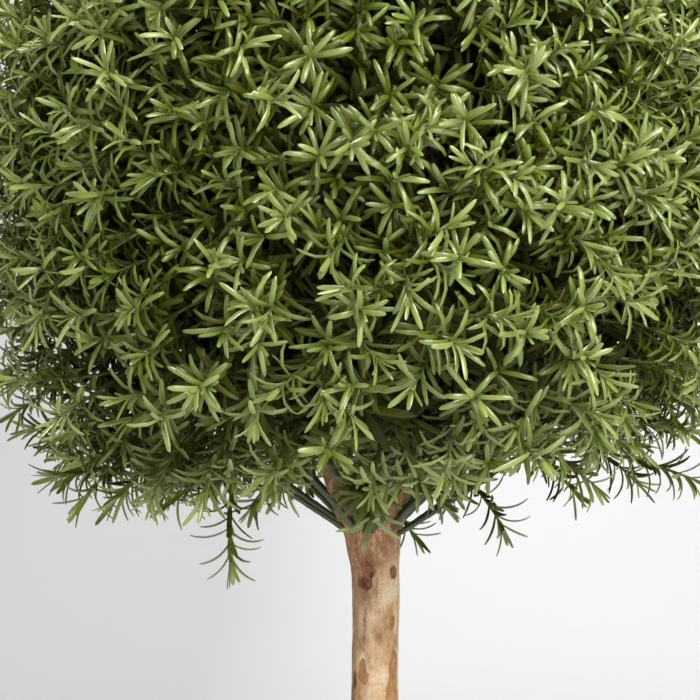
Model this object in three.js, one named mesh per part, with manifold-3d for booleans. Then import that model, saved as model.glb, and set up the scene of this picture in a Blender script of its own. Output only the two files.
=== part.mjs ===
// An artificial rosemary standard, a "lollipop" topiary: a clipped ball of sprigs on a bare
// natural-wood trunk that stands in a plain tapered clay pot.
//
// The trunk is one solid from its flat cut on the potting mix to a fork just under the ball. Two
// short wooden prongs carry on inside the ball. Moulded green branches leave the top of the trunk
// and the prongs, and each mass of foliage takes up one sector of the ball and hangs on one of
// them. Every mass is a core with sprigs standing out of it: a three-sided twig that carries
// whorls of recurved, needle-like leaves.
//
// Units are millimetres, +Z is up, and the origin is the middle of the pot's flat underside.
import * as THREE from "three";
import { mergeVertices } from "three/addons/utils/BufferGeometryUtils.js";
import Module from "manifold-3d";

const wasm = await Module();
wasm.setup();

// ---- Driving dimensions -------------------------------------------------------------------
const GAP = 0.3; // clearance kept between neighbouring solids

const POT_HEIGHT = 262;
const POT_BASE_RADIUS = 108;
const POT_TOP_RADIUS = 146; // of the body, under the rim band
const POT_WALL = 11;
const POT_FLOOR = 18;
const RIM_HEIGHT = 40;
const RIM_PROUD = 7; // how far the rim band stands out of the body
const FOOT_CHAMFER = 3;
const POT_SIDES = 32;

const FILL_TOP = 232; // height of the potting mix under the trunk
const FILL_FALL = 5; // how much lower it lies at the pot's wall

const TRUNK_TOP = 860; // the fork
const TRUNK_BASE_RADIUS = 22;
const TRUNK_TOP_RADIUS = 18.2;
const TRUNK_FLARE = 11; // extra radius where it meets the mix
const TRUNK_FLARE_HEIGHT = 24;
const TRUNK_SWAY = 4; // sideways wander of its centre line
const HEAD_SHIFT = 3; // towards -X at its top
const FORK_WIDENING = 3.5; // extra half-width under the fork
const TRUNK_SIDES = 16;
const TRUNK_STEPS = 22;

const CROWN_RADIUS = 306;
const CROWN_CENTRE = 1145; // height of the ball's widest level
const CROWN_RISE = 300; // from there to the top
const CROWN_DROP = 258; // from there to the ordinary tips of the underside
const DROP_TILT = new THREE.Vector2(-18, -6); // the underside is lower towards -X and -Y
const TOP_ROUNDNESS = 2.25; // superellipse exponents: the underside is much flatter
const UNDERSIDE_ROUNDNESS = 5.0;
const HOLLOW_RADIUS = 170; // the underside lifts over this radius round the trunk
const HOLLOW_LIFT = 0.15; // by this share of the drop

// Foliage masses: rings of sectors, each with a count, an elevation and an azimuth offset.
const RINGS = [
  { name: "lower", count: 7, elevation: -34, turn: 13 },
  { name: "middle", count: 7, elevation: 9, turn: 39 },
  { name: "upper", count: 5, elevation: 49, turn: 18 },
  { name: "top", count: 1, elevation: 90, turn: 0 },
];
const SECTOR_GAP = 4; // between a core and its sector's walls
const CORE_SHARE = 0.79; // of the ball's radius that the cores reach
const CORE_INNER = 96; // the cores stay this far from the ball's centre
const CORE_CLEAR_OF_TRUNK = 84;
const CORE_MARGIN = 12; // between a core and any limb
const CORE_DETAIL = 1;

const SPRIG_COUNT = 122;
const SPRIG_SEED = 20;
const SPRIG_WALL_MARGIN = 15; // between a sprig's tip and its sector's walls
const TWIG_RADIUS = 3;
const TWIG_SUNK = 14; // depth of a twig's root in its core
const TWIG_DROOP = 0.16; // how far a sprig's tip sinks, as a share of its length
const LEAF_LENGTH = 62;
const LEAF_WIDTH = 14;
const LEAF_THICKNESS = 3.2;
const LEAF_ROOT = 3; // how much of the twig's length a leaf's root takes up
const LEAF_BROADEST = 0.56; // where a leaf is widest, as a share of its length
const LEAF_CURL = 0.15; // how far its point curves back, as a share of its length
const WHORL_LEAVES = 3; // one on each side of the three-sided twig
const WHORLS = [
  { at: 0.56, opening: 74, size: 1.0 },
  { at: 0.93, opening: 46, size: 0.92 },
];
const END_LEAF_SIZE = 0.6; // of the leaf that ends a sprig
const FOLDS = [0, 22, 40]; // degrees that a leaf may fold up to stay in its sector

// Sprigs that hang below the ball: where the tip is, and how far above it the sprig starts.
const HANGING = [
  { tip: [-107, -118, 816], rise: 105 },
  { tip: [98, -60, 842], rise: 90 },
];

// ---- Small helpers ------------------------------------------------------------------------
const radians = THREE.MathUtils.degToRad;
const smoothstep = THREE.MathUtils.smoothstep;
const UP = new THREE.Vector3(0, 0, 1);

// A seeded generator of numbers from 0 to 1, so that every build gives the same plant.
function seededRandom(seed) {
  let state = seed >>> 0;
  return () => {
    state = (state + 0x6d2b79f5) >>> 0;
    let mixed = Math.imul(state ^ (state >>> 15), 1 | state);
    mixed = (mixed + Math.imul(mixed ^ (mixed >>> 7), 61 | mixed)) ^ mixed;
    return ((mixed ^ (mixed >>> 14)) >>> 0) / 4294967296;
  };
}

// The unit vector at an azimuth and elevation in degrees; azimuth 0 is +X.
function direction(azimuth, elevation) {
  const flat = Math.cos(radians(elevation));
  return new THREE.Vector3(
    flat * Math.cos(radians(azimuth)),
    flat * Math.sin(radians(azimuth)),
    Math.sin(radians(elevation)),
  );
}

// A geometry with only positions, its shared vertices merged.
function welded(geometry) {
  const plain = new THREE.BufferGeometry();
  plain.setAttribute("position", geometry.getAttribute("position").clone());
  if (geometry.index) plain.setIndex(geometry.index.clone());
  return mergeVertices(plain, 1e-3);
}

function toSolid(geometry) {
  const mesh = welded(geometry);
  return new wasm.Manifold(
    new wasm.Mesh({
      numProp: 3,
      vertProperties: new Float32Array(mesh.getAttribute("position").array),
      triVerts: new Uint32Array(mesh.index.array),
    }),
  );
}

function toGeometry(solid) {
  const mesh = solid.getMesh();
  const geometry = new THREE.BufferGeometry();
  geometry.setAttribute(
    "position",
    new THREE.BufferAttribute(new Float32Array(mesh.vertProperties), 3),
  );
  geometry.setIndex(new THREE.BufferAttribute(new Uint32Array(mesh.triVerts), 1));
  geometry.computeVertexNormals();
  return geometry;
}

// The largest body of a solid, without any loose scrap.
function mainBody(solid) {
  const bodies = solid.decompose();
  return bodies.reduce((a, b) => (b.volume() > a.volume() ? b : a));
}

// ---- Limbs --------------------------------------------------------------------------------
// A line that starts at a point and leans away from the vertical towards an azimuth; its lean
// turns evenly from lean[0] to lean[1] degrees along its length.
class LeaningLine extends THREE.Curve {
  constructor({ from, azimuth, lean, length }) {
    super();
    Object.assign(this, { from, azimuth, lean, length });
  }

  getPoint(t, target = new THREE.Vector3()) {
    const steps = 24;
    const outward = direction(this.azimuth, 0);
    target.copy(this.from);
    for (let i = 0; i < steps; i += 1) {
      const along = (t * (i + 0.5)) / steps;
      const lean = radians(THREE.MathUtils.lerp(this.lean[0], this.lean[1], along));
      const step = (t * this.length) / steps;
      target.addScaledVector(outward, Math.sin(lean) * step);
      target.z += Math.cos(lean) * step;
    }
    return target;
  }
}

// The trunk's centre line wanders a little and shifts towards -X under the fork. It is upright
// at both ends, so that the cut at its foot lies flat.
class TrunkLine extends THREE.Curve {
  getPoint(t, target = new THREE.Vector3()) {
    const base = FILL_TOP + GAP;
    const wander = Math.sin(t * Math.PI) ** 2;
    return target.set(
      TRUNK_SWAY * wander * Math.sin(t * 5.3) - HEAD_SHIFT * smoothstep(t, 0.9, 1),
      TRUNK_SWAY * wander * Math.cos(t * 4.1 + 0.6),
      THREE.MathUtils.lerp(base, TRUNK_TOP, t),
    );
  }
}

// A closed limb: a cylinder bent along a curve. radiusAt(t, angle) gives the section, and
// grow adds to it all round and at both ends, which makes a cutter with clearance.
function limb(curve, radiusAt, sides, steps, grow = 0) {
  const geometry = welded(new THREE.CylinderGeometry(1, 1, 1, sides, steps));
  const position = geometry.getAttribute("position");
  const centre = new THREE.Vector3();
  for (let i = 0; i < position.count; i += 1) {
    const t = THREE.MathUtils.clamp(position.getY(i) + 0.5, 0, 1);
    const spoke = Math.hypot(position.getX(i), position.getZ(i));
    const angle = Math.atan2(position.getX(i), position.getZ(i));
    const ahead = curve.getTangent(t);
    const side = new THREE.Vector3().crossVectors(new THREE.Vector3(0, 1, 0), ahead).normalize();
    const over = new THREE.Vector3().crossVectors(ahead, side);
    const reach = spoke * (radiusAt(t, angle) + grow);
    curve.getPoint(t, centre);
    centre.addScaledVector(side, Math.cos(angle) * reach);
    centre.addScaledVector(over, Math.sin(angle) * reach);
    if (t === 0) centre.addScaledVector(ahead, -grow);
    if (t === 1) centre.addScaledVector(ahead, grow);
    position.setXYZ(i, centre.x, centre.y, centre.z);
  }
  return toSolid(geometry);
}

// The trunk's radius: taper, root flare, a widening along X under the fork, and shallow flutes.
function trunkRadius(t, angle) {
  const height = t * (TRUNK_TOP - FILL_TOP);
  const taper = THREE.MathUtils.lerp(TRUNK_BASE_RADIUS, TRUNK_TOP_RADIUS, Math.min(1, t * 1.25));
  const flare = TRUNK_FLARE * Math.exp(-height / TRUNK_FLARE_HEIGHT);
  const toes = 0.35 * flare * Math.cos(5 * angle + 0.8);
  const widening = FORK_WIDENING * smoothstep(t, 0.93, 0.985) * Math.cos(angle) ** 2;
  const flutes = 0.5 * Math.sin(2 * angle + 9 * t) + 0.35 * Math.sin(3 * angle - 14 * t);
  return taper + flare + toes + widening + flutes;
}

const trunkLine = new TrunkLine();
const trunkSolid = limb(trunkLine, trunkRadius, TRUNK_SIDES, TRUNK_STEPS);
const trunkCutter = limb(trunkLine, trunkRadius, TRUNK_SIDES, TRUNK_STEPS, GAP);

// The two wooden prongs of the fork.
const PRONG_SIDES = 9;
const PRONG_STEPS = 5;
const PRONGS = [
  { name: "fork_left", offset: -10, azimuth: 184, lean: [27, -19], length: 232, radii: [11, 7] },
  { name: "fork_right", offset: 10.5, azimuth: -14, lean: [17, -10], length: 250, radii: [11, 7] },
].map((prong) => {
  const start = trunkLine.getPoint(1);
  const from = new THREE.Vector3(start.x + prong.offset, start.y, TRUNK_TOP - 14);
  const line = new LeaningLine({ ...prong, from });
  const radiusAt = (t) => THREE.MathUtils.lerp(prong.radii[0], prong.radii[1], t);
  return { ...prong, line, radiusAt };
});

function prongSolids() {
  let taken = trunkCutter;
  return PRONGS.map(({ name, line, radiusAt }) => {
    const solid = mainBody(limb(line, radiusAt, PRONG_SIDES, PRONG_STEPS).subtract(taken));
    taken = taken.add(limb(line, radiusAt, PRONG_SIDES, PRONG_STEPS, GAP));
    return { name, solid };
  });
}

// ---- The ball and its sectors -------------------------------------------------------------
// All of these work from the ball's centre.

// How far the ball reaches from its centre in a unit direction.
function crownReach(unit) {
  const flat = Math.hypot(unit.x, unit.y);
  const below = unit.z < 0;
  const power = below ? UNDERSIDE_ROUNDNESS : TOP_ROUNDNESS;
  const drop = CROWN_DROP + DROP_TILT.x * unit.x + DROP_TILT.y * unit.y;
  const half = below ? drop : CROWN_RISE;
  const sum = (flat / CROWN_RADIUS) ** power + (Math.abs(unit.z) / half) ** power;
  const reach = sum ** (-1 / power);
  if (!below) return reach;
  return reach * (1 - HOLLOW_LIFT * (1 - smoothstep(reach * flat, 0, HOLLOW_RADIUS)));
}

const SECTORS = RINGS.flatMap(({ name, count, elevation, turn }) =>
  Array.from({ length: count }, (_, i) => ({
    name: count === 1 ? `foliage_${name}` : `foliage_${name}_${i + 1}`,
    ring: name,
    number: i + 1,
    azimuth: turn + (360 * i) / count,
    seed: direction(turn + (360 * i) / count, elevation),
  })),
);

function sectorOf(point) {
  return SECTORS.reduce((a, b) => (point.dot(b.seed) > point.dot(a.seed) ? b : a));
}

// How far a point lies inside its sector's walls; negative outside.
function wallDistance(point, sector) {
  const normal = new THREE.Vector3();
  return Math.min(
    ...SECTORS.filter((other) => other !== sector).map((other) => {
      normal.subVectors(sector.seed, other.seed).normalize();
      return normal.dot(point);
    }),
  );
}

// ---- Branches -----------------------------------------------------------------------------
// Each sector hangs on one branch, and each lower one has a second beside it. A branch ends in
// its own sector, out from the trunk's axis by `out` at the height `top`.
const BRANCH_SIDES = 5;
const BRANCH_STEPS = 4;
const BRANCH_RADII = [2.8, 2.3];
const BRANCH_STYLE = {
  lower: { root: 0, out: 100, top: 921 },
  middle: { root: 0.78, out: 90, top: 1136 },
  upper: { root: 0.93, out: 60, top: 1217 },
  top: { root: 0.97, out: 0, top: 1231 },
};
const BRANCH_ARCH = { lower: 0.46, middle: 0.6, upper: 0.5, top: 0.5 }; // rise before it turns out
const HEAD_ROOT = { radius: 15, below: 12, riseShare: 0.3 }; // of lower branches in the trunk
const SECOND_BRANCH = { turn: 16, rise: 12, share: 0.9 };

const outFrom = (azimuth, out, height) => direction(azimuth, 0).multiplyScalar(out).setZ(height);

function branchLine(azimuth, ring, rise = 0, share = 1) {
  const { root, out, top } = BRANCH_STYLE[ring];
  const end = outFrom(azimuth, out * share, top + rise);
  let start;
  if (ring === "lower") {
    const height = TRUNK_TOP - HEAD_ROOT.below + rise * HEAD_ROOT.riseShare;
    start = outFrom(azimuth, HEAD_ROOT.radius, height);
    start.add(trunkLine.getPoint(1).setZ(0));
  } else {
    const forks = PRONGS.map(({ line }) => line.getPoint(root));
    const beside = (point) => point.distanceTo(end);
    start = ring === "top" || beside(forks[1]) < beside(forks[0]) ? forks[1] : forks[0];
  }
  const bend = start.clone().lerp(end, 0.35);
  bend.z = THREE.MathUtils.lerp(start.z, end.z, BRANCH_ARCH[ring]);
  return new THREE.QuadraticBezierCurve3(start, bend, end);
}

const BRANCHES = SECTORS.flatMap((sector) => {
  const { ring, number, azimuth } = sector;
  const radiusAt = (t) => THREE.MathUtils.lerp(BRANCH_RADII[0], BRANCH_RADII[1], t);
  const name = ring === "top" ? "branch_top" : `branch_${ring}_${number}`;
  const branch = { name, sector, line: branchLine(azimuth, ring), radiusAt };
  if (ring !== "lower") return [branch];
  const { turn, rise, share } = SECOND_BRANCH;
  const line = branchLine(azimuth + turn, ring, rise, share);
  return [
    { ...branch, name: `${name}a` },
    { ...branch, name: `${name}b`, line },
  ];
});

const branchLimb = ({ line, radiusAt }, grow = 0) =>
  limb(line, radiusAt, BRANCH_SIDES, BRANCH_STEPS, grow);

function branchSolids(wood) {
  let taken = wood;
  return BRANCHES.map((branch) => {
    const solid = mainBody(branchLimb(branch).subtract(taken));
    taken = taken.add(branchLimb(branch, GAP));
    return { name: branch.name, solid };
  });
}

const toCrown = (point) => point.clone().setZ(point.z - CROWN_CENTRE);

// Points along every limb with its radius there, in the ball's frame, for clearance tests.
const LIMB_POINT_SPACING = 6;
const LIMB_POINTS = [
  ...PRONGS,
  ...BRANCHES,
  { line: trunkLine, radiusAt: () => TRUNK_TOP_RADIUS + FORK_WIDENING },
].flatMap(({ line, radiusAt }) => {
  const count = Math.ceil(line.getLength() / LIMB_POINT_SPACING);
  const at = (point, i) => ({ point: toCrown(point), radius: radiusAt(i / count) });
  return line.getPoints(count).map(at);
});

function clearOfLimbs(point, margin) {
  return LIMB_POINTS.every(
    (limbPoint) => point.distanceTo(limbPoint.point) > limbPoint.radius + margin,
  );
}

// ---- Foliage ------------------------------------------------------------------------------
function insideCore(point, sector) {
  const distance = point.length();
  const beside = sector.ring === "lower" || sector.ring === "middle";
  return (
    distance > CORE_INNER &&
    distance < crownReach(point.clone().normalize()) * CORE_SHARE &&
    (!beside || Math.hypot(point.x, point.y) > CORE_CLEAR_OF_TRUNK) &&
    wallDistance(point, sector) > SECTOR_GAP &&
    clearOfLimbs(point, CORE_MARGIN)
  );
}

// The middle of a sector's core.
function coreCentre(sector) {
  return sector.seed.clone().multiplyScalar(0.6 * crownReach(sector.seed));
}

// A core fills its sector as seen from its own middle.
function coreGeometry(sector) {
  const middle = coreCentre(sector);
  const geometry = welded(new THREE.IcosahedronGeometry(1, CORE_DETAIL));
  const position = geometry.getAttribute("position");
  const ray = new THREE.Vector3();
  const probe = new THREE.Vector3();
  const step = 2;
  for (let i = 0; i < position.count; i += 1) {
    ray.fromBufferAttribute(position, i).normalize();
    let distance = 8;
    while (insideCore(probe.copy(middle).addScaledVector(ray, distance + step), sector)) {
      distance += step;
    }
    probe.copy(middle).addScaledVector(ray, distance);
    position.setXYZ(i, probe.x, probe.y, probe.z);
  }
  return geometry;
}

// The point below a core's surface where a twig that runs out to `tip` is rooted.
function rootInCore(tip, sector, core) {
  const outward = tip.clone().sub(coreCentre(sector)).normalize();
  const ray = new THREE.Raycaster(tip.clone().addScaledVector(outward, 400), outward.negate());
  const skin = new THREE.Mesh(core, new THREE.MeshBasicMaterial());
  const [hit] = ray.intersectObject(skin);
  return hit.point.addScaledVector(ray.ray.direction, TWIG_SUNK);
}

// The line of a sprig: from inside the core out to the ball's surface, sinking at the tip.
function sprigLine(unit, sector, core, random) {
  const reach = crownReach(unit);
  const tip = unit.clone().multiplyScalar(reach * (0.86 + 0.04 * random()));
  const root = rootInCore(tip, sector, core);
  const length = tip.distanceTo(root);
  tip.z -= TWIG_DROOP * length * Math.hypot(unit.x, unit.y);
  const bend = root.clone().lerp(tip, 0.55).addScaledVector(UP, 0.08 * length);
  return new THREE.QuadraticBezierCurve3(root, bend, tip);
}

function hangingLine({ tip, rise }, sector, core) {
  const end = new THREE.Vector3(tip[0], tip[1], tip[2] - CROWN_CENTRE + 0.42 * LEAF_LENGTH);
  const above = end.clone().addScaledVector(UP, rise);
  const root = rootInCore(above, sector, core);
  return new THREE.QuadraticBezierCurve3(root, end.clone().lerp(above, 0.6), end);
}

// Hanging sprigs may pass below the ball; elsewhere the ball's surface is the limit.
function withinCrown(point) {
  const unit = point.clone().normalize();
  if (point.length() < crownReach(unit) * 1.02) return true;
  return HANGING.some(
    ({ tip }) =>
      point.z < -0.7 * CROWN_DROP &&
      Math.hypot(point.x - tip[0], point.y - tip[1]) < 1.2 * LEAF_LENGTH,
  );
}

// One sprig as a closed mesh: a three-sided twig whose sides grow leaves, whorl after whorl,
// each whorl turned a sixth of a turn from the last, and one leaf that carries on from its end.
// fits(corners) says whether a leaf with those corners may grow.
function sprigSolid(line, turn, sizeAt, fits) {
  const points = [];
  const faces = [];
  const add = (point) => points.push(point) - 1;
  const face = (...corners) => faces.push(...corners);
  const next = (k) => (k + 1) % WHORL_LEAVES;
  const sixth = Math.PI / WHORL_LEAVES;

  const frameAt = (t) => {
    const ahead = line.getTangent(t);
    const side = new THREE.Vector3().crossVectors(ahead, new THREE.Vector3(0.1, 0.2, 1)).normalize();
    const over = new THREE.Vector3().crossVectors(ahead, side);
    const spoke = (angle) =>
      side.clone().multiplyScalar(Math.cos(angle)).addScaledVector(over, Math.sin(angle));
    return { centre: line.getPoint(t), ahead, side, over, spoke };
  };
  const ring = ({ centre, spoke, ahead }, angle, along, radius) =>
    Array.from({ length: WHORL_LEAVES }, (_, k) =>
      add(
        centre
          .clone()
          .addScaledVector(spoke(angle + 2 * sixth * k), radius)
          .addScaledVector(ahead, along),
      ),
    );
  const plainSide = (low, high, k) => {
    face(low[k], low[next(k)], high[next(k)]);
    face(low[k], high[next(k)], high[k]);
  };

  // A leaf on side k between two rings, or nothing if it fits no way.
  const leafOn = (low, high, k, frame, angle, opening, length) => {
    const normal = frame.spoke(angle + 2 * sixth * (k + 0.5));
    const across = new THREE.Vector3().crossVectors(frame.ahead, normal);
    const root = frame.centre.clone().addScaledVector(normal, TWIG_RADIUS * Math.cos(sixth));
    const scale = length / LEAF_LENGTH;
    for (const fold of FOLDS) {
      const open = radians(opening - fold);
      const blade = frame.ahead.clone().multiplyScalar(Math.cos(open));
      blade.addScaledVector(normal, Math.sin(open));
      const upper = frame.ahead.clone().multiplyScalar(Math.sin(open));
      upper.addScaledVector(normal, -Math.cos(open));
      const broadest = root.clone().addScaledVector(blade, LEAF_BROADEST * length);
      const corners = [
        broadest.clone().addScaledVector(across, (-LEAF_WIDTH / 2) * scale),
        broadest.clone().addScaledVector(across, (LEAF_WIDTH / 2) * scale),
        broadest.clone().addScaledVector(upper, LEAF_THICKNESS * scale),
        root.clone().addScaledVector(blade, length).addScaledVector(upper, -LEAF_CURL * length),
      ];
      const inner = root.clone().lerp(broadest, 0.5);
      if (fits([...corners, broadest, inner])) {
        const [left, right, ridge, tip] = corners.map(add);
        const m = next(k);
        face(low[k], low[m], right, low[k], right, left);
        face(low[m], high[m], ridge, low[m], ridge, right);
        face(high[m], high[k], ridge);
        face(high[k], low[k], left, high[k], left, ridge);
        face(left, right, tip, right, ridge, tip, ridge, left, tip);
        return;
      }
    }
    plainSide(low, high, k);
  };

  let frame = frameAt(0);
  let last = ring(frame, turn, 0, TWIG_RADIUS);
  face(last[2], last[1], last[0]);
  WHORLS.forEach(({ at, opening, size }, whorl) => {
    const angle = turn + sixth * whorl;
    frame = frameAt(at);
    const low = ring(frame, angle, -LEAF_ROOT / 2, TWIG_RADIUS);
    const high = ring(frame, angle, LEAF_ROOT / 2, TWIG_RADIUS);
    for (let k = 0; k < WHORL_LEAVES; k += 1) {
      if (whorl === 0) plainSide(last, low, k);
      else face(last[k], last[next(k)], low[k], last[next(k)], low[next(k)], low[k]);
    }
    for (let k = 0; k < WHORL_LEAVES; k += 1) {
      leafOn(low, high, k, frame, angle, opening, LEAF_LENGTH * size * sizeAt());
    }
    last = high;
  });

  // The end leaf grows from the last ring.
  const length = LEAF_LENGTH * END_LEAF_SIZE * sizeAt();
  const angle = turn + sixth * (WHORLS.length - 1);
  const middle = last.map((_, k) => {
    const spoke = frame.spoke(angle + 2 * sixth * k);
    const broad = spoke.dot(frame.side) * (LEAF_WIDTH / 2);
    const thin = spoke.dot(frame.over) * (LEAF_THICKNESS / 2);
    return add(
      frame.centre
        .clone()
        .addScaledVector(frame.ahead, LEAF_ROOT / 2 + LEAF_BROADEST * length)
        .addScaledVector(frame.side, broad)
        .addScaledVector(frame.over, thin),
    );
  });
  const tip = add(frame.centre.clone().addScaledVector(frame.ahead, LEAF_ROOT / 2 + length));
  for (let k = 0; k < WHORL_LEAVES; k += 1) {
    plainSide(last, middle, k);
    face(middle[k], middle[next(k)], tip);
  }

  const geometry = new THREE.BufferGeometry().setFromPoints(points);
  geometry.setIndex(faces);
  return toSolid(geometry);
}

// A sprig in its sector. A leaf that would not stay there folds up, and one that still would
// not is left out; so is a whole sprig whose twig would cross the sector's wall or a limb.
function sprigParts(line, sector, random) {
  const fits = (corners) =>
    corners.every(
      (point) =>
        wallDistance(point, sector) > GAP && withinCrown(point) && clearOfLimbs(point, 2 * GAP),
    );
  const clear = (point) =>
    wallDistance(point, sector) > TWIG_RADIUS + GAP && clearOfLimbs(point, TWIG_RADIUS + GAP);
  if (!line.getPoints(12).every(clear)) return [];
  const turn = random() * Math.PI * 2;
  return [sprigSolid(line, turn, () => 0.85 + 0.3 * random(), fits)];
}

// The stem of a mass runs on from its branch's tip, GAP clear of it, into the core.
function massStem({ sector, line, radiusAt }) {
  const tip = toCrown(line.getPoint(1));
  const ahead = line.getTangent(1);
  const start = tip.clone().addScaledVector(ahead, 1.2 * GAP);
  const middle = coreCentre(sector);
  const bend = start.clone().addScaledVector(ahead, 0.35 * start.distanceTo(middle));
  const curve = new THREE.QuadraticBezierCurve3(start, bend, middle);
  return limb(curve, () => radiusAt(1), BRANCH_SIDES, 3);
}

// Directions spread evenly over the sphere.
function evenDirections(count) {
  const golden = Math.PI * (3 - Math.sqrt(5));
  return Array.from({ length: count }, (_, i) => {
    const z = 1 - (2 * (i + 0.5)) / count;
    const flat = Math.sqrt(1 - z * z);
    return new THREE.Vector3(flat * Math.cos(golden * i), flat * Math.sin(golden * i), z);
  });
}

// Turns a direction towards its sector's seed until it is well away from the sector's walls.
function awayFromWalls(unit, sector) {
  const turned = unit.clone();
  while (wallDistance(turned, sector) * crownReach(turned) < SPRIG_WALL_MARGIN) {
    turned.lerp(sector.seed, 0.03).normalize();
  }
  return turned;
}

// Every mass is a core, its sprigs and its stems in one, cut clear of the limbs.
function foliageSolids(limbCutter) {
  const random = seededRandom(SPRIG_SEED);
  const masses = new Map(
    SECTORS.map((sector) => {
      const core = coreGeometry(sector);
      return [sector, { core, parts: [toSolid(core)] }];
    }),
  );
  for (const unit of evenDirections(SPRIG_COUNT)) {
    const sector = sectorOf(unit);
    const { core, parts } = masses.get(sector);
    const line = sprigLine(awayFromWalls(unit, sector), sector, core, random);
    parts.push(...sprigParts(line, sector, random));
  }
  for (const hanging of HANGING) {
    const [x, y, z] = hanging.tip;
    const sector = sectorOf(new THREE.Vector3(x, y, z + hanging.rise - CROWN_CENTRE));
    const { core, parts } = masses.get(sector);
    parts.push(...sprigParts(hangingLine(hanging, sector, core), sector, random));
  }
  for (const branch of BRANCHES) masses.get(branch.sector).parts.push(massStem(branch));
  return SECTORS.map((sector) => {
    const whole = wasm.Manifold.union(masses.get(sector).parts);
    return { name: sector.name, solid: mainBody(whole.subtract(limbCutter)) };
  });
}

// ---- Pot ----------------------------------------------------------------------------------
// A turned solid whose profile is a list of [radius, height].
function turned(profile) {
  const points = profile.map(([radius, height]) => new THREE.Vector2(radius, height));
  return new THREE.LatheGeometry(points, POT_SIDES).rotateX(Math.PI / 2);
}

const potRadius = (height) =>
  THREE.MathUtils.lerp(POT_BASE_RADIUS, POT_TOP_RADIUS, height / (POT_HEIGHT - RIM_HEIGHT));
const innerRadius = (height) => potRadius(Math.min(height, POT_HEIGHT - RIM_HEIGHT)) - POT_WALL;

function potGeometry() {
  const under = POT_HEIGHT - RIM_HEIGHT;
  return turned([
    [0, 0],
    [POT_BASE_RADIUS - FOOT_CHAMFER, 0],
    [POT_BASE_RADIUS, FOOT_CHAMFER],
    [potRadius(under), under],
    [potRadius(under) + RIM_PROUD, under + 3],
    [potRadius(under) + RIM_PROUD + 2, POT_HEIGHT - 4],
    [potRadius(under) + RIM_PROUD - 2, POT_HEIGHT],
    [innerRadius(POT_HEIGHT) + 4, POT_HEIGHT],
    [innerRadius(POT_HEIGHT), POT_HEIGHT - 5],
    [innerRadius(under), under],
    [innerRadius(POT_FLOOR), POT_FLOOR],
    [0, POT_FLOOR],
  ]);
}

function fillGeometry() {
  const edge = FILL_TOP - FILL_FALL;
  const under = POT_HEIGHT - RIM_HEIGHT;
  return turned([
    [0, POT_FLOOR + GAP],
    [innerRadius(POT_FLOOR) - 2 * GAP, POT_FLOOR + GAP],
    [innerRadius(under) - 2 * GAP, under],
    [innerRadius(edge) - 2 * GAP, edge],
    [innerRadius(edge) * 0.72, FILL_TOP - 1.2],
    [TRUNK_BASE_RADIUS + 2 * TRUNK_FLARE, FILL_TOP],
    [0, FILL_TOP],
  ]);
}

// ---- Materials and the scene graph --------------------------------------------------------
const MATERIALS = {
  clay: new THREE.MeshStandardMaterial({ color: 0xb4694a, roughness: 0.85, metalness: 0 }),
  mix: new THREE.MeshStandardMaterial({ color: 0x3a2c22, roughness: 0.95, metalness: 0 }),
  bark: new THREE.MeshStandardMaterial({ color: 0xc9a176, roughness: 0.7, metalness: 0 }),
  stem: new THREE.MeshStandardMaterial({ color: 0x3f4c2c, roughness: 0.55, metalness: 0 }),
  leaf: new THREE.MeshStandardMaterial({ color: 0x6f8a3c, roughness: 0.45, metalness: 0 }),
};

function named(name, geometry, material) {
  const mesh = new THREE.Mesh(geometry, material);
  mesh.name = name;
  return mesh;
}

const pot = new THREE.Group();
pot.add(named("pot", potGeometry(), MATERIALS.clay));
pot.add(named("potting_mix", fillGeometry(), MATERIALS.mix));

const wood = new THREE.Group();
const prongs = prongSolids();
wood.add(named("trunk", toGeometry(trunkSolid), MATERIALS.bark));
for (const { name, solid } of prongs) wood.add(named(name, toGeometry(solid), MATERIALS.bark));

const branches = new THREE.Group();
const woodCutter = PRONGS.reduce(
  (all, { line, radiusAt }) => all.add(limb(line, radiusAt, PRONG_SIDES, PRONG_STEPS, GAP)),
  trunkCutter,
);
for (const { name, solid } of branchSolids(woodCutter)) {
  branches.add(named(name, toGeometry(solid), MATERIALS.stem));
}

const limbCutter = BRANCHES.reduce((all, branch) => all.add(branchLimb(branch, GAP)), woodCutter)
  .translate([0, 0, -CROWN_CENTRE]);
const crown = new THREE.Group();
crown.position.z = CROWN_CENTRE;
for (const { name, solid } of foliageSolids(limbCutter)) {
  crown.add(named(name, toGeometry(solid), MATERIALS.leaf));
}

const topiary = new THREE.Group();
topiary.add(pot, wood, branches, crown);
export default topiary;
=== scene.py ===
"""An artificial rosemary standard in a clay pot: its looks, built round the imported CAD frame.

The crown grows by the same rule as the solids: branches leave the trunk's head and the fork,
each carries one mass of foliage, and each mass divides into stems, twigs and leafy sprigs that
end on the ball's surface. Units are metres, +Z is up and -Y is the front.
"""

import math
from collections import namedtuple

import bpy
import numpy as np
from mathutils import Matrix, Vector


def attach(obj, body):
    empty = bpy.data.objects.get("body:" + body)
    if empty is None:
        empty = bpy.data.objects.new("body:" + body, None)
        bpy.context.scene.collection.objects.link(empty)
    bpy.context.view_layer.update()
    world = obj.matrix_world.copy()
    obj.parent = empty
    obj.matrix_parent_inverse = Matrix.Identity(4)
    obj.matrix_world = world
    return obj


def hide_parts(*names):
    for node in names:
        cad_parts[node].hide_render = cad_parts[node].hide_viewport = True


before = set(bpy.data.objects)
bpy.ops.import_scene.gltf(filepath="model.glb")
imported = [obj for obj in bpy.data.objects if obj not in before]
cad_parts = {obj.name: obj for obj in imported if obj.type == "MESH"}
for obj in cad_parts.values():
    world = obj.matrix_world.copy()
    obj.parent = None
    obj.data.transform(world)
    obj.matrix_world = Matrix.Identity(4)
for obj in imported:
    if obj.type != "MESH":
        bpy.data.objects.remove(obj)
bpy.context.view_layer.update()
RNG = np.random.default_rng(20)

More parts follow.
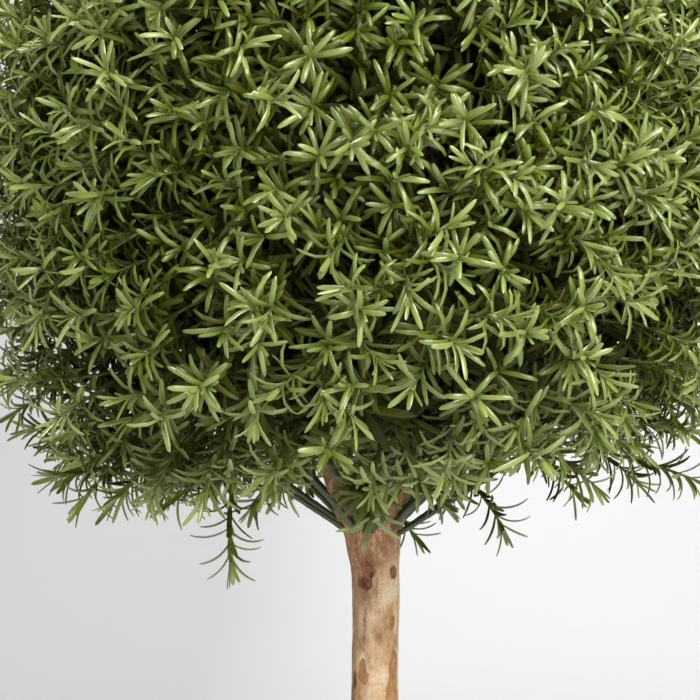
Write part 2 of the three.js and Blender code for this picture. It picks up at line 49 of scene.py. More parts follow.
# ---- Sizes shared with the solids ------------------------------------------------------------
CROWN_RADIUS = 0.306
CROWN_CENTRE = np.array([0.0, 0.0, 1.145])
CROWN_RISE = 0.300  # from the centre up
CROWN_DROP = 0.258  # from the centre down
DROP_TILT = np.array([-0.018, -0.006])  # what the drop gains towards +X and +Y
TOP_ROUNDNESS = 2.25  # powers of a superellipse: 2 is round
UNDERSIDE_ROUNDNESS = 5.0
HOLLOW_RADIUS = 0.170  # within this of the trunk's axis the underside is lifted
HOLLOW_LIFT = 0.15
TRUNK_FOOT = 0.2323
TRUNK_TOP = 0.860
TRUNK_BASE_RADIUS = 0.022
TRUNK_TOP_RADIUS = 0.0182
TRUNK_FLARE = 0.011
TRUNK_FLARE_HEIGHT = 0.024
TRUNK_SWAY = 0.004
HEAD_SHIFT = 0.003
FORK_WIDENING = 0.0035
POT_HEIGHT = 0.262
POT_BASE_RADIUS = 0.108
POT_TOP_RADIUS = 0.146
POT_WALL = 0.011
POT_FLOOR = 0.018
RIM_HEIGHT = 0.040
RIM_PROUD = 0.007
FILL_TOP = 0.232
FILL_DOME = 0.005
FILL_GAP = 0.001  # between the fill and the pot

# Rings of masses: name, how many, the azimuth of the first and the elevation of all, in degrees.
RINGS = (("lower", 7, 13, -34), ("middle", 7, 39, 9), ("upper", 5, 18, 49), ("top", 1, 0, 90))
# Branches of a ring: place of the root along a prong, how far out and how high the end is, and
# the share of the rise at the bend.
BRANCH_STYLE = {
    "lower": (0.0, 0.100, 0.921, 0.46),
    "middle": (0.78, 0.090, 1.136, 0.6),
    "upper": (0.93, 0.060, 1.217, 0.5),
    "top": (0.97, 0.0, 1.231, 0.5),
}


# ---- Vector helpers --------------------------------------------------------------------------
def unit(v):
    return v / np.maximum(np.linalg.norm(v, axis=-1, keepdims=True), 1e-9)


def heading(azimuth, elevation=0.0):
    a, e = math.radians(azimuth), math.radians(elevation)
    return np.array([math.cos(e) * math.cos(a), math.cos(e) * math.sin(a), math.sin(e)])


def smoothstep(x, low, high):
    t = np.clip((x - low) / (high - low), 0, 1)
    return t * t * (3 - 2 * t)


def lerp(a, b, t):
    return a + (b - a) * t


def bezier(start, bend, end, t):
    t = np.asarray(t)[..., None]
    return (1 - t) ** 2 * start + 2 * t * (1 - t) * bend + t**2 * end


def any_normal(v):
    """A unit vector across each of v."""
    ref = np.where(np.abs(v[..., 2:3]) < 0.8, [0.0, 0.0, 1.0], [1.0, 0.0, 0.0])
    return unit(np.cross(v, ref))


def rotation(axis, angle):
    """The matrix of a turn about axis 0, 1 or 2."""
    i, j = (axis + 1) % 3, (axis + 2) % 3
    matrix = np.eye(3)
    matrix[i, i] = matrix[j, j] = math.cos(angle)
    matrix[j, i] = math.sin(angle)
    matrix[i, j] = -math.sin(angle)
    return matrix


def hash_lattice(cell, seed):
    """A repeatable number from 0 to 1 for each whole-number point."""
    c = cell.astype(np.int64)
    h = (c[..., 0] * 73856093) ^ (c[..., 1] * 19349663)
    h = h ^ (c[..., 2] * 83492791) ^ (seed * 2654435761)
    h = (h ^ (h >> 13)) * 1274126177
    h = h ^ (h >> 16)
    return (h & 0xFFFFFF) / float(0xFFFFFF)


def noise(points, scale, seed=0):
    """Smooth value noise from -1 to 1; scale is the size of its features."""
    p = points / scale
    base = np.floor(p)
    f = p - base
    f = f * f * (3 - 2 * f)
    total = 0.0
    for corner in np.ndindex(2, 2, 2):
        weight = np.prod(np.where(corner, f, 1 - f), axis=-1)
        total = total + weight * hash_lattice(base + corner, seed)
    return 2 * total - 1


# ---- Meshes ----------------------------------------------------------------------------------
def linked(name, data):
    """A new object in the scene."""
    obj = bpy.data.objects.new(name, data)
    bpy.context.scene.collection.objects.link(obj)
    return obj


def mesh_object(name, verts, faces, material, smooth=True):
    """An object from arrays of vertices and of triangles or quads."""
    faces = np.asarray(faces, np.int32)
    sides = faces.shape[1]
    mesh = bpy.data.meshes.new(name)
    mesh.vertices.add(len(verts))
    mesh.vertices.foreach_set("co", np.asarray(verts, np.float32).ravel())
    mesh.loops.add(faces.size)
    mesh.loops.foreach_set("vertex_index", faces.ravel())
    mesh.polygons.add(len(faces))
    mesh.polygons.foreach_set("loop_start", np.arange(0, faces.size, sides, dtype=np.int32))
    mesh.polygons.foreach_set("loop_total", np.full(len(faces), sides, np.int32))
    mesh.polygons.foreach_set("use_smooth", np.full(len(faces), smooth))
    mesh.update(calc_edges=True)
    mesh.materials.append(material)
    return linked(name, mesh)


class Soup:
    """Collects vertices and triangles of many small shapes into one mesh."""

    def __init__(self):
        self.verts, self.faces, self.count = [], [], 0

    def add(self, verts, faces):
        self.verts.append(np.asarray(verts).reshape(-1, 3))
        self.faces.append(np.asarray(faces) + self.count)
        self.count += len(self.verts[-1])

    def triangles(self):
        return sum(len(f) for f in self.faces)

    def arrays(self):
        return np.concatenate(self.verts), np.concatenate(self.faces)


def closed_faces(rings, sides):
    """Triangles between rings of points, with a fan to one more point at each end."""
    j = np.arange(sides)
    nxt = (j + 1) % sides
    faces = []
    for i in range(rings - 1):
        a, b = i * sides, (i + 1) * sides
        faces += [np.stack([a + j, a + nxt, b + nxt], 1), np.stack([a + j, b + nxt, b + j], 1)]
    last = (rings - 1) * sides
    faces.append(np.stack([nxt, j, np.full(sides, rings * sides)], 1))
    faces.append(np.stack([last + j, last + nxt, np.full(sides, rings * sides + 1)], 1))
    return np.concatenate(faces)


def repeated(faces, copies, verts_each):
    """The faces of one shape, once for each of its copies."""
    return (faces[None] + (np.arange(copies) * verts_each)[:, None, None]).reshape(-1, 3)


def loft(rings):
    """A closed mesh through rings (K, M, 3)."""
    verts = np.concatenate([rings.reshape(-1, 3), rings[0].mean(0)[None], rings[-1].mean(0)[None]])
    return verts, closed_faces(*rings.shape[:2])


def tubes(paths, radii, sides, ribs=None):
    """Closed tubes along paths (N, K, 3) with radii (N, K): vertices and triangles."""
    n, k, _ = paths.shape
    ahead = unit(np.gradient(paths, axis=1))
    side = np.empty_like(paths)
    side[:, 0] = any_normal(ahead[:, 0])
    for i in range(1, k):  # carries the frame along, so that no tube twists
        back = side[:, i - 1]
        side[:, i] = unit(back - ahead[:, i] * np.sum(back * ahead[:, i], -1, keepdims=True))
    over = np.cross(ahead, side)
    angle = np.arange(sides) * 2 * np.pi / sides
    reach = np.broadcast_to(radii[:, :, None], (n, k, sides)).copy()
    if ribs is not None:
        reach *= ribs
    ring = (
        paths[:, :, None]
        + side[:, :, None] * (np.cos(angle)[:, None] * reach[..., None])
        + over[:, :, None] * (np.sin(angle)[:, None] * reach[..., None])
    )
    verts = np.concatenate([ring.reshape(n, -1, 3), paths[:, [0, -1]]], axis=1)
    return verts.reshape(-1, 3), repeated(closed_faces(k, sides), n, verts.shape[1])


def add_limb(soup, path, root_radius, end_radius, sides, ribs=None):
    """One tapering tube along a path (K, 3)."""
    radii = np.linspace(root_radius, end_radius, len(path))
    soup.add(*tubes(path[None], radii[None], sides, ribs))


# ---- Materials -------------------------------------------------------------------------------
def srgb(r, g, b):
    """Linear colour from 8-bit sRGB."""
    c = np.array([r, g, b]) / 255.0
    c = np.where(c <= 0.04045, c / 12.92, ((c + 0.055) / 1.055) ** 2.4)
    return (*c.tolist(), 1.0)


def grey(value):
    """Linear grey."""
    return (value, value, value, 1.0)


class Paint:
    """A material in the making. What its nodes take is a node's output or a plain value."""

    def __init__(self, name, roughness, specular=0.5):
        self.material = bpy.data.materials.new(name)
        self.material.use_nodes = True
        self.tree = self.material.node_tree
        self.shader = self.tree.nodes["Principled BSDF"]
        self.feed(self.shader, {"Roughness": roughness, "Specular IOR Level": specular})

    def feed(self, node, inputs):
        for key, value in inputs.items():
            if hasattr(value, "is_output"):
                self.tree.links.new(value, node.inputs[key])
            else:
                node.inputs[key].default_value = value

    def node(self, kind, output, inputs, **settings):
        """The named output of a new node."""
        node = self.tree.nodes.new("ShaderNode" + kind)
        for key, value in settings.items():
            setattr(node, key, value)
        self.feed(node, inputs)
        return node.outputs[output]

    def place(self):
        return self.node("TexCoord", "Object", {})

    def attribute(self, name):
        return self.node("Attribute", "Fac", {}, attribute_name=name)

    def noise(self, scale, detail, roughness=0.6, stretch=None):
        place = self.place()
        if stretch:
            place = self.node("Mapping", "Vector", {"Vector": place, "Scale": stretch})
        inputs = {"Vector": place, "Scale": scale, "Detail": detail, "Roughness": roughness}
        return self.node("TexNoise", "Fac", inputs)

    def math(self, operation, *values):
        return self.node("Math", "Value", dict(enumerate(values)), operation=operation)

    def between(self, value, low, high, step="SMOOTHSTEP"):
        """0 below low, 1 above high and a smooth or LINEAR step between them."""
        inputs = {"Value": value, "From Min": low, "From Max": high}
        return self.node("MapRange", "Result", inputs, interpolation_type=step)

    def ramp(self, factor, *stops):
        """Colours by a factor, from stops of place and linear colour."""
        node = self.tree.nodes.new("ShaderNodeValToRGB")
        elements = node.color_ramp.elements
        while len(elements) < len(stops):
            elements.new(0.5)
        for element, (place, colour) in zip(elements, stops):
            element.position = place
            element.color = colour
        self.feed(node, {"Fac": factor})
        return node.outputs["Color"]

    def shades(self, factor, *stops):
        """The same with 8-bit sRGB colours."""
        return self.ramp(factor, *((place, srgb(*colour)) for place, colour in stops))

    def mixed(self, factor, a, b, blend="MIX"):
        inputs = {0: factor, 6: a, 7: b}
        return self.node("Mix", 2, inputs, data_type="RGBA", blend_type=blend)

    def colour(self, value):
        self.feed(self.shader, {"Base Color": value})

    def bumps(self, height, strength, depth):
        inputs = {"Height": height, "Strength": strength, "Distance": depth}
        self.feed(self.shader, {"Normal": self.node("Bump", "Normal", inputs)})


def plastic_material(name, colour, roughness, specular=0.5, uneven=0.0):
    """One plain colour, with an uneven surface where asked for."""
    paint = Paint(name, roughness, specular)
    paint.colour(srgb(*colour))
    if uneven:
        paint.bumps(paint.noise(620.0, 3.0), uneven, 0.0006)
    return paint.material


def mottled_material(name, gloss, pattern, stops, relief=None):
    """Colours from a noise pattern and, with relief, bumps from the same pattern."""
    paint = Paint(name, *gloss)
    factor = paint.noise(*pattern)
    paint.colour(paint.shades(factor, *stops))
    if relief:
        paint.bumps(factor, *relief)
    return paint.material


def stem_material():
    stops = ((0.3, (56, 66, 40)), (0.7, (88, 98, 62)))
    return mottled_material("stem_plastic", (0.45,), (60.0, 3.0), stops)


def mix_material():
    stops = ((0.32, (24, 18, 14)), (0.52, (56, 42, 32)), (0.75, (96, 76, 58)))
    return mottled_material("potting_mix", (0.95, 0.2), (160.0, 6.0, 0.75), stops, (0.8, 0.002))


def chip_material():
    stops = ((0.3, (62, 40, 27)), (0.5, (104, 70, 46)), (0.72, (142, 104, 74)))
    return mottled_material("bark_chips", (0.85, 0.25), (90.0, 5.0, 0.7), stops, (0.5, 0.001))


def clay_material():
    """Fired clay with a pale bloom in bands, as turned on a wheel."""
    paint = Paint("clay", 0.85, 0.25)
    stops = ((0.30, (164, 92, 62)), (0.52, (186, 110, 76)), (0.72, (202, 134, 100)))
    clay = paint.shades(paint.noise(9.0, 5.0), *stops)
    bands = paint.noise(60.0, 2.0, stretch=(0.05, 0.05, 3.0))
    bloom = paint.ramp(bands, (0.45, grey(0.0)), (0.8, grey(0.35)))
    paint.colour(paint.mixed(bloom, clay, srgb(214, 170, 142)))
    paint.bumps(paint.noise(420.0, 3.0, 0.7), 0.25, 0.0005)
    return paint.material


def bark_material():
    """Smooth tan bark with pale areas, reddish at the fork, and bared patches with pale rims.

    The attributes patch and dark give the distance inside a patch's edge in millimetres; red, pale
    and tan are plain fields that are high where the bark has that colour. Pale and tan also carry
    painted light and shade: the bark is painted paler on its right side and darker on its left.
    """
    paint = Paint("bark", 0.7, 0.3)
    broad = paint.noise(62.0, 7.0, 0.66, (1.0, 1.0, 0.5))
    grain = paint.noise(800.0, 4.0, 0.75, (1.0, 1.0, 0.7))
    mottle = paint.noise(230.0, 6.0, 0.72, (1.0, 1.0, 0.6))
    ragged = paint.math("MULTIPLY_ADD", mottle, 5.0, -2.5)

    def area(name, raggedness, low, high):
        """Where an attribute is high, with a ragged edge between low and high."""
        edge = paint.math("MULTIPLY_ADD", ragged, raggedness, paint.attribute(name))
        return paint.between(edge, low, high)

    patch = area("patch", 0.45, 0.0, 0.22)
    rim = area("patch", 0.45, -0.75, -0.1)
    rim = paint.math("MULTIPLY", rim, paint.between(broad, 0.46, 0.58))
    stops = ((0.32, (162, 124, 86)), (0.44, (210, 170, 128)), (0.54, (234, 202, 162)))
    skin = paint.shades(broad, *stops, (0.66, (248, 226, 194)))
    under = paint.shades(mottle, (0.35, (166, 116, 76)), (0.65, (202, 156, 108)))
    stops = ((0.36, (148, 102, 72)), (0.50, (188, 142, 104)), (0.62, (222, 186, 146)))
    raw = paint.shades(mottle, *stops)
    stops = ((0.38, (98, 58, 42)), (0.50, (136, 90, 64)), (0.64, (178, 128, 92)))
    shadow = paint.shades(mottle, *stops)
    # The tan colour is painted shade on the left side and the pale one painted light on the right, each
    # broken up by noise.
    colour = paint.mixed(area("tan", 0.4, 0.3, 2.6), skin, srgb(160, 126, 88))
    colour = paint.mixed(area("pale", 0.3, -0.1, 0.6), colour, srgb(246, 225, 190))
    colour = paint.mixed(area("red", 1.5, -2.2, 2.6), colour, raw)
    colour = paint.mixed(area("dark", 1.0, -0.4, 1.1), colour, shadow)
    colour = paint.mixed(rim, colour, srgb(246, 230, 202))
    colour = paint.mixed(patch, colour, under)
    stops = ((0.32, (0.60, 0.48, 0.38, 1)), (0.47, (0.96, 0.94, 0.92, 1)), (0.7, grey(1.0)))
    paint.colour(paint.mixed(1.0, colour, paint.ramp(grain, *stops), blend="MULTIPLY"))
    surface = paint.math("MULTIPLY_ADD", grain, 0.5, mottle)
    paint.bumps(paint.math("MULTIPLY_ADD", patch, -0.6, surface), 0.75, 0.0007)
    return paint.material


# Leaf colours from the light tips of a sprig to the dark leaves inside the ball, with roughness and
# specular. The steps are partly the leaves' own tones and partly painted shade: leaves further from
# a sprig's tip and sprigs deeper in the ball get the darker colours, and leaf_shade, the darkest,
# is painted shade alone, on the sprigs inside the ball.
LEAF_LOOKS = {
    "tip_yellow": ((152, 166, 84), 0.28, 1.0),
    "tip_green": ((130, 146, 62), 0.28, 1.0),
    "leaf_green": ((109, 123, 33), 0.30, 0.9),
    "leaf_olive": ((93, 102, 15), 0.36, 0.6),
    "leaf_deep": ((75, 81, 9), 0.5, 0.25),
    "leaf_shade": ((50, 55, 14), 0.6, 0.15),
}
LEAF_MATERIALS = {
    name: plastic_material(name, *look, uneven=0.3) for name, look in LEAF_LOOKS.items()
}
TWIG_MATERIAL = plastic_material("twig_plastic", (92, 106, 50), roughness=0.5)
BARK_MATERIAL = bark_material()


# ---- Limbs -----------------------------------------------------------------------------------
def trunk_centre(t):
    """The trunk's axis, which sways slightly, at t from the foot (0) to the head (1)."""
    t = np.asarray(t, float)
    wander = np.sin(t * np.pi) ** 2
    x = TRUNK_SWAY * wander * np.sin(t * 5.3) - HEAD_SHIFT * smoothstep(t, 0.9, 1)
    y = TRUNK_SWAY * wander * np.cos(t * 4.1 + 0.6)
    return np.stack([x, y, lerp(TRUNK_FOOT, TRUNK_TOP, t)], -1)


HEAD = trunk_centre(1.0)


def trunk_radius(t, angle):
    """Taper, root flare with toes, widening towards the prongs and shallow flutes."""
    height = t * (TRUNK_TOP - TRUNK_FOOT)
    taper = lerp(TRUNK_BASE_RADIUS, TRUNK_TOP_RADIUS, np.minimum(1, t * 1.25))
    flare = TRUNK_FLARE * np.exp(-height / TRUNK_FLARE_HEIGHT)
    toes = 0.35 * flare * np.cos(5 * angle + 0.8)
    widening = FORK_WIDENING * smoothstep(t, 0.93, 0.985) * np.cos(angle) ** 2
    flutes = 0.0005 * np.sin(2 * angle + 9 * t) + 0.00035 * np.sin(3 * angle - 14 * t)
    return taper + flare + toes + widening + flutes


def leaning_line(start, azimuth, lean, length, t):
    """Points at t along a line whose lean from the vertical turns evenly."""
    steps = 24
    t = np.atleast_1d(np.asarray(t, float))
    along = (np.arange(steps) + 0.5) / steps
    angle = np.radians(lerp(lean[0], lean[1], t[:, None] * along))
    step = (t * length / steps)[:, None]
    out = (np.sin(angle) * step).sum(1)
    up = (np.cos(angle) * step).sum(1)
    return start + out[:, None] * heading(azimuth) + up[:, None] * np.array([0, 0, 1.0])


# Prongs of the fork: root, azimuth, lean at the root and at the end in degrees, and length.
PRONGS = (
    (HEAD + [-0.010, 0, -0.014], 184, (27, -19), 0.232),
    (HEAD + [0.0105, 0, -0.014], -14, (17, -10), 0.250),
)
PRONG_RADII = (0.011, 0.007)
# Points inside the wood, each with the radius that leaves keep clear of.
LIMB_POINTS = [(point, 0.024) for point in trunk_centre(np.linspace(0.85, 1, 8))]
for prong in PRONGS:
    places = np.linspace(0, 1, 14)
    LIMB_POINTS += zip(leaning_line(*prong, places), lerp(*PRONG_RADII, places))


def out_from(azimuth, out, height):
    return heading(azimuth) * out + np.array([0, 0, height])


def branch_curve(ring, azimuth, rise=0.0, share=1.0):
    """Start, bend and end of the branch into a mass of a ring."""
    root, out, top, arch = BRANCH_STYLE[ring]
    end = out_from(azimuth, out * share, top + rise)
    if ring == "lower":
        start = out_from(azimuth, 0.015, TRUNK_TOP - 0.012 + rise * 0.3) + HEAD * [1, 1, 0]
    else:
        forks = [leaning_line(*prong, root)[0] for prong in PRONGS]
        nearer = int(np.linalg.norm(forks[1] - end) < np.linalg.norm(forks[0] - end))
        start = forks[1] if ring == "top" else forks[nearer]
    bend = lerp(start, end, 0.35)
    bend[2] = lerp(start[2], end[2], arch)
    return start, bend, end


SEEDS = []  # the direction of each mass from the ball's centre
BRANCHES = []  # the number of the mass and the curve
for ring, count, turn, elevation in RINGS:
    for i in range(count):
        azimuth = turn + 360 * i / count
        BRANCHES.append((len(SEEDS), branch_curve(ring, azimuth)))
        if ring == "lower":  # and a shorter one beside it
            BRANCHES.append((len(SEEDS), branch_curve(ring, azimuth + 16, 0.012, 0.9)))
        SEEDS.append(heading(azimuth, elevation))
SEEDS = np.array(SEEDS)


# ---- The ball --------------------------------------------------------------------------------
# Hollows in the crown, and with a negative depth places where it stands fuller: azimuth,
# elevation and width in degrees, depth as a share of the crown's reach.
HOLLOWS = (
    (240, 3, 10, 0.10),
    (268, 9, 8, 0.09),
    (253, -17, 7, 0.075),
    (232, -16, 8, 0.06),
    (252, 13, 7, 0.06),
    (277, 6, 7, 0.08),
    (245, -9, 7, 0.06),
    (292, -35, 6, 0.02),
    (241, -25, 7, -0.03),
    (261, -25, 6, -0.03),
    (272, -41, 7, -0.03),
    (290, -18, 7, -0.035),
    (309, -30, 7, -0.03),
    (20, 5, 8, 0.07),
    (62, -12, 8, 0.07),
    (95, 18, 8, 0.07),
    (128, -5, 8, 0.07),
    (165, 25, 8, 0.07),
    (210, 48, 9, 0.06),
    (330, 40, 9, 0.06),
)
SHALLOW = 0.024  # the mean depth of the uneven surface between them
# A gap in the underside beside the trunk, from front to back.
GROOVE = np.array([[-0.037, -0.320, 0.897], [-0.0445, 0.300, 0.849]])
GROOVE_RADIUS = 0.017
GROOVE_CLEARANCE = 0.014  # more for the tips of sprigs


def crown_reach(direction):
    """How far the ball reaches from its centre in unit directions (N, 3)."""
    flat = np.hypot(direction[:, 0], direction[:, 1])
    below = direction[:, 2] < 0
    half = np.where(below, CROWN_DROP + direction[:, :2] @ DROP_TILT, CROWN_RISE)
    power = np.where(below, UNDERSIDE_ROUNDNESS, TOP_ROUNDNESS)
    reach = ((flat / CROWN_RADIUS) ** power + (np.abs(direction[:, 2]) / half) ** power) ** (-1 / power)
    lift = 1 - HOLLOW_LIFT * (1 - smoothstep(reach * flat, 0, HOLLOW_RADIUS))
    return np.where(below, reach * lift, reach)


def hollowness(direction):
    """How far the crown falls short of its outline, as a share of its reach."""
    depth = SHALLOW * (1 + noise(direction, 0.22, 7))
    for azimuth, elevation, width, deepest in HOLLOWS:
        apart = np.degrees(np.arccos(np.clip(direction @ heading(azimuth, elevation), -1, 1)))
        depth += deepest * np.exp(-((apart / width) ** 2))
    return depth


def from_groove(points):
    """How far points (N, 3) are from the middle line of the groove in the underside."""
    low, high = GROOVE
    along = np.clip((points - low) @ (high - low) / np.sum((high - low) ** 2), 0, 1)
    return np.linalg.norm(points - lerp(low, high, along[:, None]), axis=1)


def clear_of_limbs(points, margin):
    keep = np.ones(len(points), bool)
    for place, radius in LIMB_POINTS:
        keep &= np.linalg.norm(points - place, axis=1) > radius + margin
    return keep


def even_directions(count, turn=0.0):
    """Unit vectors spread evenly over a ball by the golden angle."""
    i = np.arange(count)
    z = 1 - 2 * (i + 0.5) / count
    flat = np.sqrt(1 - z * z)
    angle = np.pi * (3 - math.sqrt(5)) * i + turn
    return np.stack([flat * np.cos(angle), flat * np.sin(angle), z], 1)


# ---- Leaves ----------------------------------------------------------------------------------
# Profiles of a leaf: place along it and width there as a share of the broadest.
LEAF_FINEST = tuple(zip(
    (0.0, 0.12, 0.26, 0.40, 0.54, 0.68, 0.82, 0.94, 1.0),
    (0.45, 0.75, 0.92, 1.0, 1.0, 0.97, 0.88, 0.62, 0.0),
))
LEAF_FINE = ((0.0, 0.42), (0.18, 0.82), (0.48, 1.0), (0.80, 0.95), (0.95, 0.60), (1.0, 0.0))
LEAF_MEDIUM = ((0.0, 0.42), (0.26, 0.90), (0.64, 1.0), (0.92, 0.68), (1.0, 0.0))
LEAF_COARSE = ((0.0, 0.34), (0.35, 0.95), (0.80, 0.88), (1.0, 0.0))
LEAF_CROWNING = 0.17  # how far the middle stands over the edges, as a share of the width
LEAF_WIDTH = 0.0038
FIRST_SHARE = 0.8  # how broad the leaves at the very tip are beside the rest
TURN_SPREAD = 0.30  # how leaves vary round the stem, in radians
LEAN_SPREAD = 0.19  # in their lean, in radians
TONE_SPREAD = 0.35  # in colour, in steps of LEAF_LOOKS
PLACE_SPREAD = 0.0013  # along the stem
LENGTHS = (0.80, 1.15)  # factors
WIDTHS = (0.84, 1.12)
CURLS = (0.55, 1.45)
LOST = 0.06  # the share of leaves that are missing
BARE_END = 0.97  # no leaf springs from the stem beyond this share of it
LEAF_MARGIN = 0.001  # between a leaf's middle and the wood

# A sprig's whorls from its tip: distances from it in millimetres, then the leaves' leans from the
# axis in degrees, lengths in millimetres, backward curls in degrees and shades (0 is the tip's). The
# shades are steps of LEAF_LOOKS: partly the leaves' own tones, partly painted shade away from the tip.
FIRM_WHORLS = list(zip(
    (0.0, 1.5, 4.2, 7.8, 11.8, 16.0, 20.4, 24.8, 29.2, 33.6, 38.2, 43.0, 48.0),
    (7, 16, 25, 30, 33, 35, 36, 37, 38, 38, 39, 40, 42),
    (14, 20, 25, 27, 28, 28, 28, 27, 26, 25, 25, 24, 24),
    (12, 42, 70, 88, 92, 96, 96, 94, 90, 84, 74, 68, 62),
    (0, 0, 0, 1, 1, 2, 2, 3, 3, 4, 4, 4, 4),
))
# Slack sprigs have longer and more curled leaves.
SLACK_WHORLS = list(zip(
    (0.0, 2.2, 6.2, 10.6, 15.0, 19.6, 24.2, 28.8, 33.6, 38.4, 43.4, 48.6),
    (8, 18, 24, 27, 29, 30, 31, 32, 34, 36, 38, 40),
    (19, 24, 27, 28, 29, 29, 29, 28, 27, 26, 25, 24),
    (12, 40, 74, 88, 95, 98, 98, 95, 88, 80, 72, 64),
    (0, 0, 0, 1, 1, 2, 2, 3, 3, 4, 4, 4),
))
# Hanging ones spread wider and straighter; those inside the ball are sparse, all in painted shade.
HANGING_WHORLS = [(d, lean + 5, leaf, 0.66 * curl, shade) for d, lean, leaf, curl, shade in SLACK_WHORLS]
DARK_WHORLS = [(d * 1.5, lean, leaf, curl, 4) for d, lean, leaf, curl, _ in FIRM_WHORLS[1:9]]
NEAR_PROFILES = 5 * [LEAF_FINE] + 4 * [LEAF_MEDIUM] + 4 * [LEAF_COARSE]  # by whorl

# A kind of sprig: its whorls, a leaf profile for each, the leaves in a whorl, how broad they are
# and the number of their darkest colour.
Kind = namedtuple("Kind", "whorls profiles leaves breadth darkest")
FIRM = Kind(FIRM_WHORLS, NEAR_PROFILES, 2, 1.0, 4)
SLACK = Kind(SLACK_WHORLS, NEAR_PROFILES, 2, 0.95, 4)
HANGING = Kind(HANGING_WHORLS, len(HANGING_WHORLS) * [LEAF_FINEST], 2, 0.95, 4)
DARK = Kind(DARK_WHORLS, len(DARK_WHORLS) * [LEAF_COARSE], 3, 1.0, 5)

FOLIAGE = {name: [] for name in LEAF_LOOKS}  # the meshes of leaves, sorted by colour


def leaf_faces(stations):
    """Two rows of triangles along a leaf, which meet at its tip."""
    faces = []
    for i in range(stations - 2):
        a, b = 3 * i, 3 * (i + 1)
        faces += [(a, a + 1, b + 1), (a, b + 1, b), (a + 1, a + 2, b + 2), (a + 1, b + 2, b + 1)]
    a, tip = 3 * (stations - 2), 3 * (stations - 1)
    faces += [(a, a + 1, tip), (a + 1, a + 2, tip)]
    return np.array(faces)


def leaves_mesh(root, blade, upper, length, width, curl, profile):
    """Leaves that curve back by curl radians along their length: vertices and triangles."""
    side = np.cross(blade, upper)
    curl = np.where(np.abs(curl) < 1e-3, 1e-3, curl)
    verts = []
    for s, w in profile:
        turn = curl * s
        along = (np.sin(turn) / curl * length)[:, None]
        back = ((1 - np.cos(turn)) / curl * length)[:, None]
        centre = root + blade * along - upper * back
        if w == 0.0:
            verts.append(centre[:, None])
            continue
        over = upper * np.cos(turn)[:, None] + blade * np.sin(turn)[:, None]
        half = side * (0.5 * w * width)[:, None]
        raised = over * (LEAF_CROWNING * w * width)[:, None]
        verts.append(np.stack([centre - half - raised, centre + raised, centre + half - raised], 1))
    verts = np.concatenate(verts, 1)
    return verts.reshape(-1, 3), repeated(leaf_faces(len(profile)), len(root), verts.shape[1])


# ---- Sprigs ----------------------------------------------------------------------------------
STEM_STEPS = 16  # points along a sprig's stem


def sprig_stems(tip, axis, base_axis, length):
    """Points and directions back from each tip along its stem, which bends to base_axis."""
    t = np.linspace(0, 1, STEM_STEPS)
    ahead = unit(axis[:, None] * (1 - t)[None, :, None] + base_axis[:, None] * t[None, :, None])
    step = (length / (STEM_STEPS - 1))[:, None, None]
    walked = np.concatenate([np.zeros((len(tip), 1, 3)), np.cumsum(ahead[:, :-1] * step, 1)], 1)
    return tip[:, None] - walked, ahead


def on_stems(points, ahead, place):
    """Points and unit directions at a place on each stem, from the tip (0) to the root (1)."""
    index = np.clip(place, 0, 1) * (STEM_STEPS - 1)
    low = np.minimum(index.astype(int), STEM_STEPS - 2)
    f = (index - low)[:, None]
    rows = np.arange(len(points))
    centre = lerp(points[rows, low], points[rows, low + 1], f)
    return centre, unit(lerp(ahead[rows, low], ahead[rows, low + 1], f))


def grow_sprigs(tip, axis, base_axis, length, tones, kind, size=1.0):
    """Adds the leaves of sprigs and returns their stems' points (N, STEM_STEPS, 3).

    A tone shifts the colours towards the painted shade. Lengths and tones are one number or one a sprig.
    """
    n = len(tip)
    length = np.broadcast_to(length, n)
    points, ahead = sprig_stems(tip, axis, base_axis, length)
    turn = RNG.uniform(0, 2 * np.pi, n)
    for j, (whorl, profile) in enumerate(zip(kind.whorls, kind.profiles)):
        distance, lean, leaf, curl, shade = whorl
        place = distance / 1000 * size / length
        centre, along = on_stems(points, ahead, place)
        side = any_normal(along)
        over = np.cross(along, side)
        breadth = LEAF_WIDTH * size * kind.breadth
        for k in range(kind.leaves):
            phi = turn + np.pi / kind.leaves * j + 2 * np.pi * k / kind.leaves
            phi = phi + RNG.normal(0, TURN_SPREAD, n)
            tilt = np.radians(lean) + RNG.normal(0, LEAN_SPREAD, n)
            phi, tilt = phi[:, None], tilt[:, None]
            out = side * np.cos(phi) + over * np.sin(phi)
            blade = along * np.cos(tilt) + out * np.sin(tilt)
            upper = along * np.sin(tilt) - out * np.cos(tilt)
            reach = leaf / 1000 * size * RNG.uniform(*LENGTHS, n)
            broad = breadth * RNG.uniform(*WIDTHS, n) * (1.0 if j else FIRST_SHARE)
            bend = np.radians(curl) * RNG.uniform(*CURLS, n)
            shift = RNG.uniform(-PLACE_SPREAD, PLACE_SPREAD, n) if j > 1 else np.zeros(n)
            start = centre + along * shift[:, None]
            tone = np.round(shade + tones + RNG.normal(0, TONE_SPREAD, n))
            tone = np.clip(tone, 0, kind.darkest)
            middle = start + blade * (0.6 * reach)[:, None]
            keep = (place < BARE_END) & (RNG.random(n) > LOST)
            keep &= clear_of_limbs(middle, LEAF_MARGIN) & (from_groove(middle) > GROOVE_RADIUS)
            leaves = (start, blade, upper, reach, broad, bend)
            for number, meshes in enumerate(FOLIAGE.values()):
                chosen = keep & (tone == number)
                if chosen.any():
                    meshes.append(leaves_mesh(*(values[chosen] for values in leaves), profile))
    return points


OUTER_SPRIGS = 1650
TIP_SCATTER = 0.030  # of the tips' directions
TRUNK_CLEARANCE = 0.062  # no outer sprig has its tip so near the trunk's axis
OUTERMOST = 1.008  # where the furthest tips are, as a share of the crown's reach
DEPTH_RANGE = 0.12  # the deepest tips are this share further in
